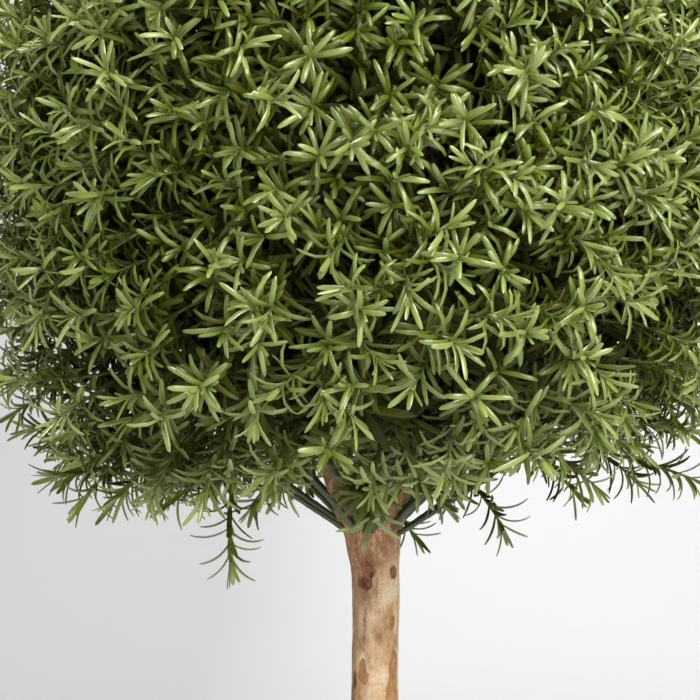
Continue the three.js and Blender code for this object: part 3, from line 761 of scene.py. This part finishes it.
# Painted shade: sprigs deeper in the ball get darker leaf colours, and the outermost lighter ones.
SHADE_DEPTH = 0.15  # a sprig that is this share further in is darker by DEPTH_TONE
DEPTH_TONE = 2.2
OUTERMOST_TONE = -0.35
SPRIG_LENGTHS = (0.052, 0.082)
SPRIG_BENDS = (0.3, 1.4)  # factors of how far a tip turns aside
LEAF_LEAD = 0.009  # how far the leaves reach past the tip of their stem
UNDERSIDE_SKIPPED = 0.30  # the share of sprigs left out of the underside
SLACK_HEIGHTS = (0.91, 1.06)  # all sprigs are slack below the first height, and
SLACK_SHARE = 0.45  # this share above the second


def crown_sprigs():
    """Outer sprigs: tips, directions at the tip and at the root, lengths and tones."""
    direction = even_directions(OUTER_SPRIGS)
    direction = unit(direction + RNG.normal(0, TIP_SCATTER, direction.shape))
    reach = crown_reach(direction)
    from_axis = np.hypot(direction[:, 0], direction[:, 1]) * reach
    far = (direction[:, 2] >= 0) | (from_axis >= TRUNK_CLEARANCE)
    direction, reach = direction[far], reach[far]
    n = len(direction)
    share = OUTERMOST - DEPTH_RANGE * RNG.random(n) ** 1.5 - hollowness(direction)
    lead = LEAF_LEAD * (1 - 0.7 * smoothstep(-direction[:, 2:], 0.3, 0.6))
    tip = CROWN_CENTRE + direction * ((reach * share)[:, None] - lead)
    notched = from_groove(tip) < GROOVE_RADIUS + GROOVE_CLEARANCE
    sparse = RNG.random(n) < UNDERSIDE_SKIPPED * smoothstep(-direction[:, 2], 0.35, 0.6)
    keep = ~(notched | sparse)
    tip, direction, share = tip[keep], direction[keep], share[keep]
    n = len(tip)
    sideways = RNG.normal(0, 1, (n, 3))
    sideways -= direction * np.sum(sideways * direction, 1, keepdims=True)
    outward = unit(direction * [1, 1, 0.55])  # the way that sprigs under the ball turn
    under = smoothstep(-direction[:, 2:], 0.35, 0.7)
    ahead = unit(lerp(direction, outward, under))
    axis = unit(ahead + 0.5 * sideways * RNG.uniform(*SPRIG_BENDS, (n, 1)) + [0, 0, 0.06])
    base = unit(lerp(direction, outward, 0.6) + 0.15 * sideways)
    length = RNG.uniform(*SPRIG_LENGTHS, n)
    # painted shade by how deep the sprig sits in the ball
    depth = (1 - share) / SHADE_DEPTH
    tones = DEPTH_TONE * depth + OUTERMOST_TONE + RNG.normal(0, TONE_SPREAD, n)
    return tip, axis, base, length, tones


# Sprigs that hang out of the underside: tip in millimetres, direction at the tip, direction at
# the root, length in millimetres, tone and size. The tone is painted shade: it darkens a sprig's
# colours by steps of LEAF_LOOKS.
HANGING_SPRIGS = (
    ((-9, -92, 886), (0, -0.95, -0.3), (0, -0.5, -0.85), 60, 2.1, 1.2),
    ((-3, -88, 881), (0.25, -0.85, -0.45), (0, -0.5, -0.85), 60, 2.3, 1.2),
    ((-17, -90, 890), (-0.3, -0.9, -0.1), (0, -0.5, -0.85), 60, 2.6, 1.2),
    ((-5, -104, 864), (0.05, -0.75, -0.65), (0, -0.35, -0.93), 60, 0.2, 1.1),
    ((30, -140, 897), (0.35, -0.85, -0.35), (0.2, -0.5, -0.8), 60, 0.5, 1),
    ((-105, -140, 840), (0.05, -0.05, -1), (-0.1, -0.1, -1), 62, 0.4, 1),
    ((94, -50, 857), (0.45, -0.1, -0.88), (0.8, -0.2, -0.55), 62, 1.7, 1),
    ((148, -170, 897), (0.7, -0.4, -0.6), (0.8, -0.5, -0.3), 60, 1.2, 1),
    ((232, -80, 895), (0.9, -0.2, -0.35), (0.95, -0.2, -0.2), 62, 1.4, 1),
    ((100, -260, 920), (0.2, -0.95, -0.2), (0.1, -0.9, -0.4), 60, 0, 1),
    ((-260, -50, 931), (-0.98, -0.1, -0.05), (-0.9, -0.3, 0.2), 60, 1.6, 1),
    ((-232, -100, 898), (-0.95, -0.1, -0.2), (-0.95, -0.2, 0), 65, 1.5, 1),
    ((-211, -120, 883), (-0.55, -0.2, -0.8), (-0.85, -0.3, -0.4), 60, 1.2, 1),
    ((-145, -140, 884), (-0.7, -0.2, -0.65), (-0.8, -0.3, -0.2), 60, 1.8, 1),
    ((31, 50, 841), (0.6, 0.1, -0.75), (0.6, 0.3, -0.4), 55, 1.8, 1),
    ((-182, -140, 887), (-0.5, -0.4, -0.7), (-0.7, -0.4, -0.4), 60, 1, 1),
    ((-73, -200, 901), (-0.2, -0.6, -0.7), (-0.4, -0.5, -0.6), 60, 1.6, 1),
    ((49, -40, 876), (0.6, -0.2, -0.7), (0.7, -0.2, -0.3), 60, 1.6, 1),
    ((-158, -165, 886), (-0.3, -0.35, -0.9), (-0.6, -0.4, -0.6), 60, 0.6, 1),
    ((-196, -60, 878), (-0.6, 0.1, -0.75), (-0.8, 0, -0.4), 60, 1.3, 1),
    ((-120, -190, 889), (-0.1, -0.55, -0.8), (-0.4, -0.5, -0.6), 58, 0.4, 1),
    ((-90, -120, 878), (-0.5, -0.1, -0.85), (-0.6, -0.2, -0.5), 60, 1.5, 1),
    ((-236, -20, 892), (-0.8, 0.1, -0.6), (-0.9, 0, -0.3), 60, 1.4, 1),
    ((-175, 40, 874), (-0.5, 0.4, -0.75), (-0.7, 0.4, -0.4), 60, 1.4, 1),
    ((-60, 150, 878), (-0.2, 0.6, -0.75), (-0.3, 0.8, -0.4), 60, 1.4, 1),
    ((70, 170, 866), (0.3, 0.5, -0.8), (0.3, 0.8, -0.3), 60, 1.4, 1),
    ((165, 90, 872), (0.6, 0.3, -0.75), (0.8, 0.3, -0.3), 60, 1.4, 1),
    ((205, 10, 886), (0.7, 0, -0.7), (0.9, 0, -0.3), 60, 1.4, 1),
    ((-246, -40, 922), (-0.95, -0.2, -0.2), (-0.9, -0.2, 0.1), 60, 1, 1),
    ((-228, -90, 912), (-0.9, -0.3, -0.3), (-0.9, -0.2, 0), 60, 1, 1),
    ((-250, 10, 914), (-0.9, -0.1, -0.4), (-0.9, 0, 0), 60, 1.3, 1),
)

SIDE_SPRIGS = 28  # more that fill the crown's side towards -X
SIDE_AZIMUTHS = (180, 206)
SIDE_ELEVATIONS = (-24, 23)
SIDE_LENGTH = 0.068
AZIMUTH_STEP, TONE_STEP = 0.618, 0.382  # the golden ratio's parts, which spread numbers evenly


def side_sprigs():
    """The same for the sprigs that fill the side."""
    k = np.arange(SIDE_SPRIGS)
    first, last = SIDE_AZIMUTHS
    azimuths = first + (last - first) * (AZIMUTH_STEP * k % 1)
    elevations = lerp(*SIDE_ELEVATIONS, (k + 0.5) / SIDE_SPRIGS)
    direction = np.array([heading(*angles) for angles in zip(azimuths, elevations)])
    tip = CROWN_CENTRE + direction * (crown_reach(direction) - LEAF_LEAD)[:, None]
    axis = unit(direction + [0, 0, 0.25])
    base = unit(direction + [0, 0, -0.2])
    return tip, axis, base, SIDE_LENGTH, DEPTH_TONE * (TONE_STEP * k % 1)


# Dark sprigs behind the outer ones, whose leaves are painted in the colours of shade, in layers:
# how many, share of the crown's reach, turn about the axis in radians and length.
DARK_LAYERS = ((460, 0.76, 1.0, 0.07), (190, 0.52, 2.0, 0.06))
# The tone that gives these sprigs' leaves the painted shade colours.
DARK_TONE = 0.8
DARK_SIZE = 1.6
DARK_FOOT = 0.925  # below this height the ball is only a thin fringe
DARK_CLEARANCE = 0.05  # from the trunk's axis
# More of them, in millimetres, where the lower crown would be open from side to side.
DARK_TUFTS = (
    (190, 0, 1000),
    (205, 50, 985),
    (215, -15, 990),
    (200, 90, 1005),
    (228, 30, 976),
    (236, -20, 984),
)
TUFT_LENGTH = 0.07


def tuft_sprigs():
    """The same for the dark tufts, which face the front."""
    tip = np.array(DARK_TUFTS) / 1000
    direction = unit(tip - CROWN_CENTRE)
    return tip, unit(direction + [0, -0.6, 0.3]), direction, TUFT_LENGTH, DARK_TONE


def layer_sprigs(count, share, turn, length):
    """The same for one layer of dark sprigs."""
    direction = unit(even_directions(count, turn) + RNG.normal(0, 0.05, (count, 3)))
    reach = crown_reach(direction) * share * RNG.uniform(0.9, 1.06, count)
    tip = CROWN_CENTRE + direction * reach[:, None]
    keep = (np.hypot(tip[:, 0], tip[:, 1]) > DARK_CLEARANCE) & (tip[:, 2] > DARK_FOOT)
    direction, tip = direction[keep], tip[keep]
    axis = unit(direction + RNG.normal(0, 0.5, tip.shape))
    return tip, axis, direction, length, DARK_TONE


outer = crown_sprigs()
tip_heights = outer[0][:, 2]
slack = RNG.uniform(*SLACK_HEIGHTS, len(tip_heights)) > tip_heights
slack |= RNG.random(len(slack)) < SLACK_SHARE
firm_stems = grow_sprigs(*(values[~slack] for values in outer), FIRM)
slack_stems = grow_sprigs(*(values[slack] for values in outer), SLACK)
tip, axis, base, length, tones, sizes = (np.array(column, float) for column in zip(*HANGING_SPRIGS))
hanging_stems = grow_sprigs(tip / 1000, unit(axis), unit(base), length / 1000, tones, HANGING, sizes)
side_stems = grow_sprigs(*side_sprigs(), FIRM)
dark_stems = [grow_sprigs(*tuft_sprigs(), DARK, DARK_SIZE)]
for layer in DARK_LAYERS:
    dark_stems.append(grow_sprigs(*layer_sprigs(*layer), DARK, DARK_SIZE))


# ---- Twigs and stems -------------------------------------------------------------------------
TWIG_RADII = (0.0009, 0.0014)  # at the tip and at the root
TWIG_POINTS = [0, 3, 7, 11, 15]  # of a sprig's stem
HEART_SHARE = 0.55  # where a mass divides, as a share of the crown's reach
SPRIGS_TO_A_STEM = 6
STEM_SHARE = 0.72  # how far a stem goes towards its sprigs
STEM_SAG = [0, 0, -0.008]
STEM_RADII = (0.0026, 0.0019)
SHOOT_RADII = (0.0017, 0.0014)  # of what leads from a stem's end to one sprig
SHOOT_BEND = 0.016
T_STEM = np.linspace(0, 1, 7)
RIB_SIDES = 12
RIB_STEPS = 30
RIB_DEPTH = 0.10
KNOT_DEPTH = 0.05
BRANCH_RADII = (0.0025, 0.0021)
SIDE_STEM_RADIUS = 0.0020
# Thin stems from the side of the trunk's head: azimuth in degrees and height of the root.
SIDE_STEMS = ((20, 0.844), (85, 0.845), (152, 0.844), (166, 0.851), (196, 0.848), (338, 0.845))
T_BRANCH = np.linspace(0, 1, RIB_STEPS)
RIBS = 1 + RIB_DEPTH * np.cos(np.arange(RIB_SIDES) * np.pi)[None, None, :]
RIBS = RIBS * (1 + KNOT_DEPTH * np.cos(np.arange(RIB_STEPS) * np.pi))[None, :, None]


def clusters(points, count):
    """Seeded k-means: the group of each point and the groups' middles."""
    middles = points[RNG.choice(len(points), count, replace=False)]
    for _ in range(6):
        group = np.argmin(np.linalg.norm(points[:, None] - middles[None], axis=2), 1)
        for g in range(count):
            if (group == g).any():
                middles[g] = points[group == g].mean(0)
    return group, middles


def heart_of(seed):
    """Where the mass in a direction from the ball's centre divides into its stems."""
    return CROWN_CENTRE + seed * HEART_SHARE * crown_reach(seed[None])[0]


def twigs_piece():
    """The sprigs' own stems, and in each mass the stems and shoots that lead to all but the side's."""
    soup = Soup()
    for stems in (firm_stems, slack_stems, hanging_stems, side_stems, *dark_stems):
        paths = stems[clear_of_limbs(stems[:, -1], 0.002)][:, TWIG_POINTS]
        radii = np.linspace(*TWIG_RADII, len(TWIG_POINTS))[None] * np.ones((len(paths), 1))
        soup.add(*tubes(paths, radii, 4))

    led_to = np.concatenate([firm_stems, slack_stems, hanging_stems, *dark_stems])
    roots, aheads = led_to[:, -1], unit(led_to[:, -2] - led_to[:, -1])
    mass_of = np.argmax((roots - CROWN_CENTRE) @ SEEDS.T, 1)
    for index, seed in enumerate(SEEDS):
        mine = np.flatnonzero(mass_of == index)
        heart = heart_of(seed)
        group, middles = clusters(roots[mine], max(2, len(mine) // SPRIGS_TO_A_STEM))
        middles = heart + (middles - heart) * STEM_SHARE
        for middle in middles:
            path = bezier(heart, lerp(heart, middle, 0.5) + STEM_SAG, middle, T_STEM)
            add_limb(soup, path, *STEM_RADII, 5)
        for i, g in zip(mine, group):
            path = bezier(middles[g], roots[i] - aheads[i] * SHOOT_BEND, roots[i], T_STEM[::2])
            add_limb(soup, path, *SHOOT_RADII, 3)
    return mesh_object("twigs", *soup.arrays(), TWIG_MATERIAL)


def branches_piece():
    """Ribbed branches that run on to the hearts of their masses, and stems beside the head."""
    soup = Soup()
    for index, (start, bend, end) in BRANCHES:
        heart = heart_of(SEEDS[index])
        onward = end + unit(end - bend) * 0.35 * np.linalg.norm(heart - end)
        add_limb(soup, bezier(start, bend, end, T_BRANCH), *BRANCH_RADII, RIB_SIDES, RIBS)
        thin = BRANCH_RADII[1]
        add_limb(soup, bezier(end, onward, heart, T_BRANCH), thin, thin, RIB_SIDES, RIBS)
    for azimuth, height in SIDE_STEMS:
        start = out_from(azimuth, 0.0125, height - 0.003) + HEAD * [1, 1, 0]
        end = out_from(azimuth, 0.125, height + 0.071)
        bend = lerp(start, end, 0.4) - [0, 0, 0.003]
        path = bezier(start, bend, end, T_BRANCH)
        add_limb(soup, path, SIDE_STEM_RADIUS, SIDE_STEM_RADIUS, RIB_SIDES, RIBS)
    return mesh_object("branches", *soup.arrays(), stem_material())


PIECE_LIMIT = 190_000  # triangles


def leaf_pieces(name, meshes):
    """The leaves of one colour, in as few pieces as the limit allows."""
    soups = [Soup()]
    for verts, faces in meshes:
        if soups[-1].triangles() + len(faces) > PIECE_LIMIT:
            soups.append(Soup())
        soups[-1].add(verts, faces)
    return [
        mesh_object(f"{name}_{number}", *soup.arrays(), LEAF_MATERIALS[name])
        for number, soup in enumerate(soups, 1)
    ]


# ---- Bark ------------------------------------------------------------------------------------
# Patches of bared inner bark on the front: x, z, half width, half height in millimetres, kind.
FRONT_PATCHES = (
    (-8.0, 810, 6.0, 6.5, "dark"),
    (-6.0, 818, 6.0, 8.0, "dark"),
    (-5.2, 822, 7.0, 8.5, "faint"),
    (14.2, 818, 4.4, 6.5, "dark"),
    (13.8, 778, 3.4, 8.8, "patch"),
    (15.0, 718, 8.0, 40.0, "patch"),
    (15.2, 741, 6.5, 18.0, "patch"),
    (-9.4, 738, 4.4, 6.5, "patch"),
    (-9.8, 744, 2.9, 8.0, "patch"),
    (-16.2, 733, 3.0, 8.0, "dark"),
    (-8.8, 776, 2.0, 13.0, "faint"),
    (2.0, 690, 6.0, 14.0, "patch"),
)
FRONT_RADIUS = 18.6  # millimetres, of the bark there
BARK_RADIUS = 0.0185  # at which patches have their widths
FRONT_AZIMUTH = 1.2  # seeded patches keep out of the front within these radians
FRONT_FOOT = 0.70  # and above this height
RANDOM_PATCHES = 46
RANDOM_HEIGHTS = (0.26, 0.90)
DARK_SHARE = 0.28
PATCH_DEPTH = 0.0004
FAINT = 0.42  # how far into the dark a faint patch goes
OUTSIDE = 4.0  # millimetres, the least that the patch attributes hold
VOXEL = 0.0016
OFF_AXIS = np.array([[0.8, 0.36, 0.48], [-0.6, 0.48, 0.64], [0.0, -0.8, 0.6]])  # a rotation
ALONG = [1, 1, 0.5]  # makes features longer up the trunk


def bark_blank():
    """The trunk and the prongs as closed shapes that overlap."""
    angles = np.arange(48) * 2 * np.pi / 48
    t = np.linspace(0, 1, 160)
    radius = trunk_radius(t[:, None], angles[None])
    around = np.stack([np.cos(angles) * radius, np.sin(angles) * radius, np.zeros_like(radius)], -1)
    soup = Soup()
    soup.add(*loft(trunk_centre(t)[:, None] + around))
    for prong in PRONGS:
        t = np.linspace(0, 1, 40)
        path = leaning_line(*prong, t)
        back = path[0] - unit(path[1] - path[0]) * 0.012
        radii = np.concatenate([[PRONG_RADII[0]], lerp(*PRONG_RADII, t)])
        soup.add(*tubes(np.concatenate([back[None], path])[None], radii[None], 24))
    return mesh_object("bark_raw", *soup.arrays(), BARK_MATERIAL)


def remeshed(raw, name):
    """The object as one smooth skin of even quads, in its place."""
    remesh = raw.modifiers.new("remesh", "REMESH")
    remesh.mode = "VOXEL"
    remesh.voxel_size = VOXEL
    smooth = raw.modifiers.new("smooth", "SMOOTH")
    smooth.factor = 0.5
    smooth.iterations = 6
    depsgraph = bpy.context.evaluated_depsgraph_get()
    mesh = bpy.data.meshes.new_from_object(raw.evaluated_get(depsgraph))
    bpy.data.objects.remove(raw)
    return linked(name, mesh)


def bark_patches():
    """Azimuth from the front in radians, height, half width, half height and kind of each patch."""
    patches = [
        (math.asin(x / FRONT_RADIUS), z / 1000, half_width / 1000, half_height / 1000, kind)
        for x, z, half_width, half_height, kind in FRONT_PATCHES
    ]
    rng = np.random.default_rng(5)
    for _ in range(RANDOM_PATCHES):
        azimuth = rng.uniform(-np.pi, np.pi)
        height = rng.uniform(*RANDOM_HEIGHTS)
        if abs(azimuth) < FRONT_AZIMUTH and height > FRONT_FOOT:
            continue
        half_width = rng.uniform(0.002, 0.008)
        kind = "patch" if rng.random() < 1 - DARK_SHARE else "dark"
        patches.append((azimuth, height, half_width, half_width * rng.uniform(1.0, 3.6), kind))
    return patches


def bark_looks(co):
    """The shader's attributes at points (N, 3) of the bark, and how far each point is raised."""
    z = co[:, 2]
    axis = trunk_centre(np.clip((z - TRUNK_FOOT) / (TRUNK_TOP - TRUNK_FOOT), 0, 1))
    around = np.arctan2(co[:, 0] - axis[:, 0], -(co[:, 1] - axis[:, 1]))  # 0 at the front
    turned_co = co @ OFF_AXIS
    wobble = (
        0.0017 * noise(turned_co, 0.011, 3)
        + 0.0010 * noise(turned_co, 0.0052, 4)
        + 0.0005 * noise(turned_co, 0.0024, 5)
    )
    fields = {"patch": np.full(len(co), -OUTSIDE), "dark": np.full(len(co), -OUTSIDE)}
    relief = np.zeros(len(co))
    for azimuth, height, half_width, half_height, kind in bark_patches():
        across = np.angle(np.exp(1j * (around - azimuth))) * BARK_RADIUS / half_width
        up = (z - height) / half_height
        size = min(half_width, half_height)
        inside = (1 - np.sqrt(across**2 + up**2)) * size + wobble * min(1.0, size / 0.0035)
        if kind == "faint":
            fields["dark"] = np.maximum(fields["dark"], np.minimum(inside * 600, FAINT))
        else:
            fields[kind] = np.maximum(fields[kind], inside * 1000)
            relief -= PATCH_DEPTH * smoothstep(inside, -0.0002, 0.0008)

    streaks = noise(co * [1, 1, 0.22], 0.0066, 9)
    fields["dark"] = np.maximum(fields["dark"], (streaks - 0.72) * 6)
    fields["red"] = (z - 0.815 - 0.010 * np.sin(around)) * 1000 / 9 + 1.6 * noise(turned_co, 0.012, 8)
    # Painted light and shade: the pale field rises on the right side and the tan field on the left.
    side = np.sin(around - 0.35)
    fields["pale"] = noise(turned_co, 0.019, 10) + 0.55 * side - 0.15
    fields["tan"] = 0.8 * noise(turned_co, 0.012, 11) - 1.3 * side
    relief += 0.0007 * noise(co * ALONG, 0.018, 1) + 0.00035 * noise(co * ALONG, 0.007, 2)
    relief += 0.00010 * noise(turned_co, 0.003, 6)
    return fields, relief * smoothstep(z, TRUNK_FOOT, TRUNK_FOOT + 0.003)  # the cut stays flat


def vectors(values, key):
    """An array (N, 3) of a mesh's vectors."""
    flat = np.empty(len(values) * 3, np.float32)
    values.foreach_get(key, flat)
    return flat.reshape(-1, 3).astype(float)


def bark_piece():
    obj = remeshed(bark_blank(), "bark")
    mesh = obj.data
    co = vectors(mesh.vertices, "co")
    normal = vectors(mesh.vertex_normals, "vector")
    fields, relief = bark_looks(co)
    co = co + normal * relief[:, None]
    mesh.vertices.foreach_set("co", co.astype(np.float32).ravel())
    for key, values in fields.items():
        layer = mesh.attributes.new(key, "FLOAT", "POINT")
        layer.data.foreach_set("value", values.astype(np.float32))
    mesh.polygons.foreach_set("use_smooth", np.ones(len(mesh.polygons), bool))
    mesh.update()
    return obj


# ---- Pot and potting mix ---------------------------------------------------------------------
MIX_RINGS = 60
MIX_SIDES = 180
CHIPS = 420
CHIP_SHAPE = np.array([1.6, 1.0, 0.42])


def turned(profile, sides):
    """Rings of points round the Z axis from a profile of radius and height."""
    radius, height = np.array(profile).T[:, :, None]
    angle = np.arange(sides) * 2 * np.pi / sides
    return np.stack(np.broadcast_arrays(radius * np.cos(angle), radius * np.sin(angle), height), -1)


def rounded(points, radius, steps=5):
    """A profile with its inner corners rounded."""
    points = [np.array(p, float) for p in points]
    out = [points[0]]
    for a, b, c in zip(points, points[1:], points[2:]):
        reach = min(radius, 0.45 * np.linalg.norm(a - b), 0.45 * np.linalg.norm(c - b))
        start, end = b + unit(a - b) * reach, b + unit(c - b) * reach
        out += [bezier(start, b, end, s) for s in np.linspace(0, 1, steps)]
    out.append(points[-1])
    return out


def divided(points, longest):
    """A profile with its long steps divided."""
    out = [points[0]]
    for a, b in zip(points, points[1:]):
        steps = max(1, int(np.linalg.norm(b - a) / longest))
        out += [lerp(a, b, (i + 1) / steps) for i in range(steps)]
    return out


def pot_radius(height):
    return lerp(POT_BASE_RADIUS, POT_TOP_RADIUS, height / (POT_HEIGHT - RIM_HEIGHT))


def fill_radius(height):
    return pot_radius(height) - POT_WALL - FILL_GAP


def fill_height(share):
    """The height of the domed fill at a share of its radius."""
    return FILL_TOP - FILL_DOME * share**2


def pot_piece():
    under = POT_HEIGHT - RIM_HEIGHT
    outer = pot_radius(under)
    profile = (
        (0.0005, 0.0),
        (POT_BASE_RADIUS, 0.0),
        (outer, under),
        (outer + RIM_PROUD, under + 0.003),
        (outer + RIM_PROUD + 0.002, POT_HEIGHT),
        (outer - POT_WALL, POT_HEIGHT),
        (outer - POT_WALL, under),
        (pot_radius(POT_FLOOR) - POT_WALL, POT_FLOOR),
        (0.0005, POT_FLOOR),
    )
    verts, faces = loft(turned(divided(rounded(profile, 0.004), 0.006), 96))
    swell = 0.0004 * noise(verts * [1, 1, 0.0] + [0, 0, 3], 0.09, 11)
    swell += 0.00018 * noise(np.stack([verts[:, 2]] * 3, 1), 0.0035, 12)
    lifted = smoothstep(verts[:, 2], 0.001, 0.01)  # the underside stays flat and round
    verts = verts + unit(verts * [1, 1, 0]) * (swell * lifted)[:, None]
    return mesh_object("clay_pot", verts, faces, clay_material())


def mix_piece():
    """Lumpy fill, with its side down to the pot's floor."""
    inner = fill_radius(FILL_TOP)
    radii = np.concatenate([[0.0004], np.linspace(0.004, inner, MIX_RINGS)])
    top = turned(np.stack([radii, fill_height(radii / inner)], 1), MIX_SIDES)
    lumps = 0.0016 * noise(top, 0.012, 21) + 0.0009 * noise(top, 0.004, 22)
    top[..., 2] += lumps + 0.0008
    foot = turned([(fill_radius(POT_FLOOR), POT_FLOOR + 0.0003)], MIX_SIDES)
    rings = np.concatenate([top, foot])
    j = np.arange(MIX_SIDES)
    nxt = (j + 1) % MIX_SIDES
    faces = [
        np.stack([a + j, a + MIX_SIDES + j, a + MIX_SIDES + nxt, a + nxt], 1)
        for a in np.arange(len(top)) * MIX_SIDES
    ]
    return mesh_object("mix", rings.reshape(-1, 3), np.concatenate(faces), mix_material())


def chips_piece():
    """Chips of bark scattered over the mix."""
    rng = np.random.default_rng(31)
    soup = Soup()
    corners = np.array([[x, y, z] for z in (-1, 1) for y in (-1, 1) for x in (-1, 1)], float)
    quads = ((0, 2, 3, 1), (4, 5, 7, 6), (0, 1, 5, 4), (2, 6, 7, 3), (0, 4, 6, 2), (1, 3, 7, 5))
    faces = np.array([tri for a, b, c, d in quads for tri in ((a, b, c), (a, c, d))])
    widest = pot_radius(FILL_TOP) - POT_WALL - 0.010
    for _ in range(CHIPS):
        size = rng.uniform(0.003, 0.008) * CHIP_SHAPE
        shape = corners * size * rng.uniform(0.7, 1.15, corners.shape)
        spin = rotation(2, rng.uniform(0, 2 * np.pi))
        lean = rotation(0, rng.normal(0, 0.28))
        out = widest * math.sqrt(rng.uniform(0.09, 1.0))
        azimuth = rng.uniform(0, 2 * np.pi)
        height = fill_height(out / widest) + 0.002
        place = np.array([out * math.cos(azimuth), out * math.sin(azimuth), height])
        soup.add(shape @ (spin @ lean).T + place, faces)
    return mesh_object("bark_chips", *soup.arrays(), chip_material(), smooth=False)


# ---- Pieces ----------------------------------------------------------------------------------
twigs = twigs_piece()
branches = branches_piece()
leaves = [piece for name, meshes in FOLIAGE.items() for piece in leaf_pieces(name, meshes)]
bark = bark_piece()
pot = pot_piece()
mix = mix_piece()
chips = chips_piece()

PIECES = [(twigs, "foliage"), (branches, "stem")]
PIECES += [(piece, "foliage") for piece in leaves]
PIECES += [(bark, "bark"), (pot, "clay"), (mix, "mix"), (chips, "mix")]
for piece, slot in PIECES:
    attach(piece, "root")
nodes = sorted(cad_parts)
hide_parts("trunk", "fork_left", "fork_right")
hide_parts(*[n for n in nodes if n.startswith("branch_")])
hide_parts(*[n for n in nodes if n.startswith("foliage_")])
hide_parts("pot")
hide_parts("potting_mix")


# ---- Stage, light and camera -----------------------------------------------------------------
STAGE_HALF_WIDTH = 12.0
STAGE_FRONT, STAGE_BACK = -8.0, 7.0
STAGE_CURVE = 1.6
STAGE_HEIGHT = 7.0
# The backdrop's grey from left to right, between two places across it: painted light and shade,
# darker on the left and lighter on the right.
STAGE_SPAN = (-1.30, 0.95)
STAGE_PAINTED_LIGHT_GREYS = ((0.0, 224), (0.36, 216), (0.62, 239), (1.0, 240))
WORLD_STRENGTH = 0.18
# Area lights: name, place, what they face, size and power in watts.
LIGHTS = (
    ("key", (1.3, -2.2, 2.9), (0, 0, 1.05), (1.7, 1.7), 101),
    ("fill", (-2.4, -2.0, 1.7), (0, 0, 1.0), (2.0, 2.0), 17),
    ("front", (0.9, -2.6, 0.75), (0, 0, 0.85), (1.2, 1.2), 13),
    ("top", (0.2, 0.4, 3.4), (0, 0, 1.1), (2.2, 2.2), 60),
    ("backdrop_light", (0.8, 4.2, 4.4), (0.8, 7.0, 1.4), (5.0, 1.2), 156),
)
CAMERA_PLACE = (-0.0205, -1.5, 0.990)
CAMERA_LENS = 98.9


def backdrop_material():
    paint = Paint("backdrop", 0.9, 0.1)
    across = paint.node("SeparateXYZ", "X", {"Vector": paint.place()})
    greys = ((stop, (value, value, value)) for stop, value in STAGE_PAINTED_LIGHT_GREYS)
    # Painted light and shade: the grey rises from left to right across the backdrop.
    paint.colour(paint.shades(paint.between(across, *STAGE_SPAN, "LINEAR"), *greys))
    return paint.material


def stage():
    """A floor that curves up into a backdrop."""
    profile = [(STAGE_FRONT, 0.0), (STAGE_BACK - STAGE_CURVE, 0.0)]
    for a in np.linspace(0.1, math.pi / 2, 14):
        forward, up = STAGE_CURVE * (1 - math.sin(a)), STAGE_CURVE * (1 - math.cos(a))
        profile.append((STAGE_BACK - forward, up))
    profile.append((STAGE_BACK, STAGE_HEIGHT))
    xs = np.linspace(-STAGE_HALF_WIDTH, STAGE_HALF_WIDTH, 29)
    verts = np.array([[x, y, z] for y, z in profile for x in xs])
    m = len(xs)
    faces = [
        (i * m + j, i * m + j + 1, (i + 1) * m + j + 1, (i + 1) * m + j)
        for i in range(len(profile) - 1)
        for j in range(m - 1)
    ]
    obj = mesh_object("backdrop", verts, faces, backdrop_material())


def area_light(name, place, target, size, power):
    light = bpy.data.lights.new(name, "AREA")
    light.shape = "RECTANGLE"
    light.size, light.size_y = size
    light.energy = power
    obj = linked(name, light)
    obj.location = place
    aim = Vector(target) - Vector(place)
    obj.rotation_euler = aim.to_track_quat("-Z", "Y").to_euler()


stage()
world = bpy.data.worlds.new("studio")
world.use_nodes = True
background = world.node_tree.nodes["Background"]
background.inputs["Color"].default_value = grey(1.0)
background.inputs["Strength"].default_value = WORLD_STRENGTH
bpy.context.scene.world = world
for light in LIGHTS:
    area_light(*light)

camera = bpy.data.cameras.new("camera")
camera.sensor_width = 36
camera.lens = CAMERA_LENS
camera_object = linked("camera", camera)
camera_object.location = CAMERA_PLACE
camera_object.rotation_euler = (math.pi / 2, 0, 0)
bpy.context.scene.camera = camera_object
bpy.context.scene.view_settings.view_transform = "Standard"
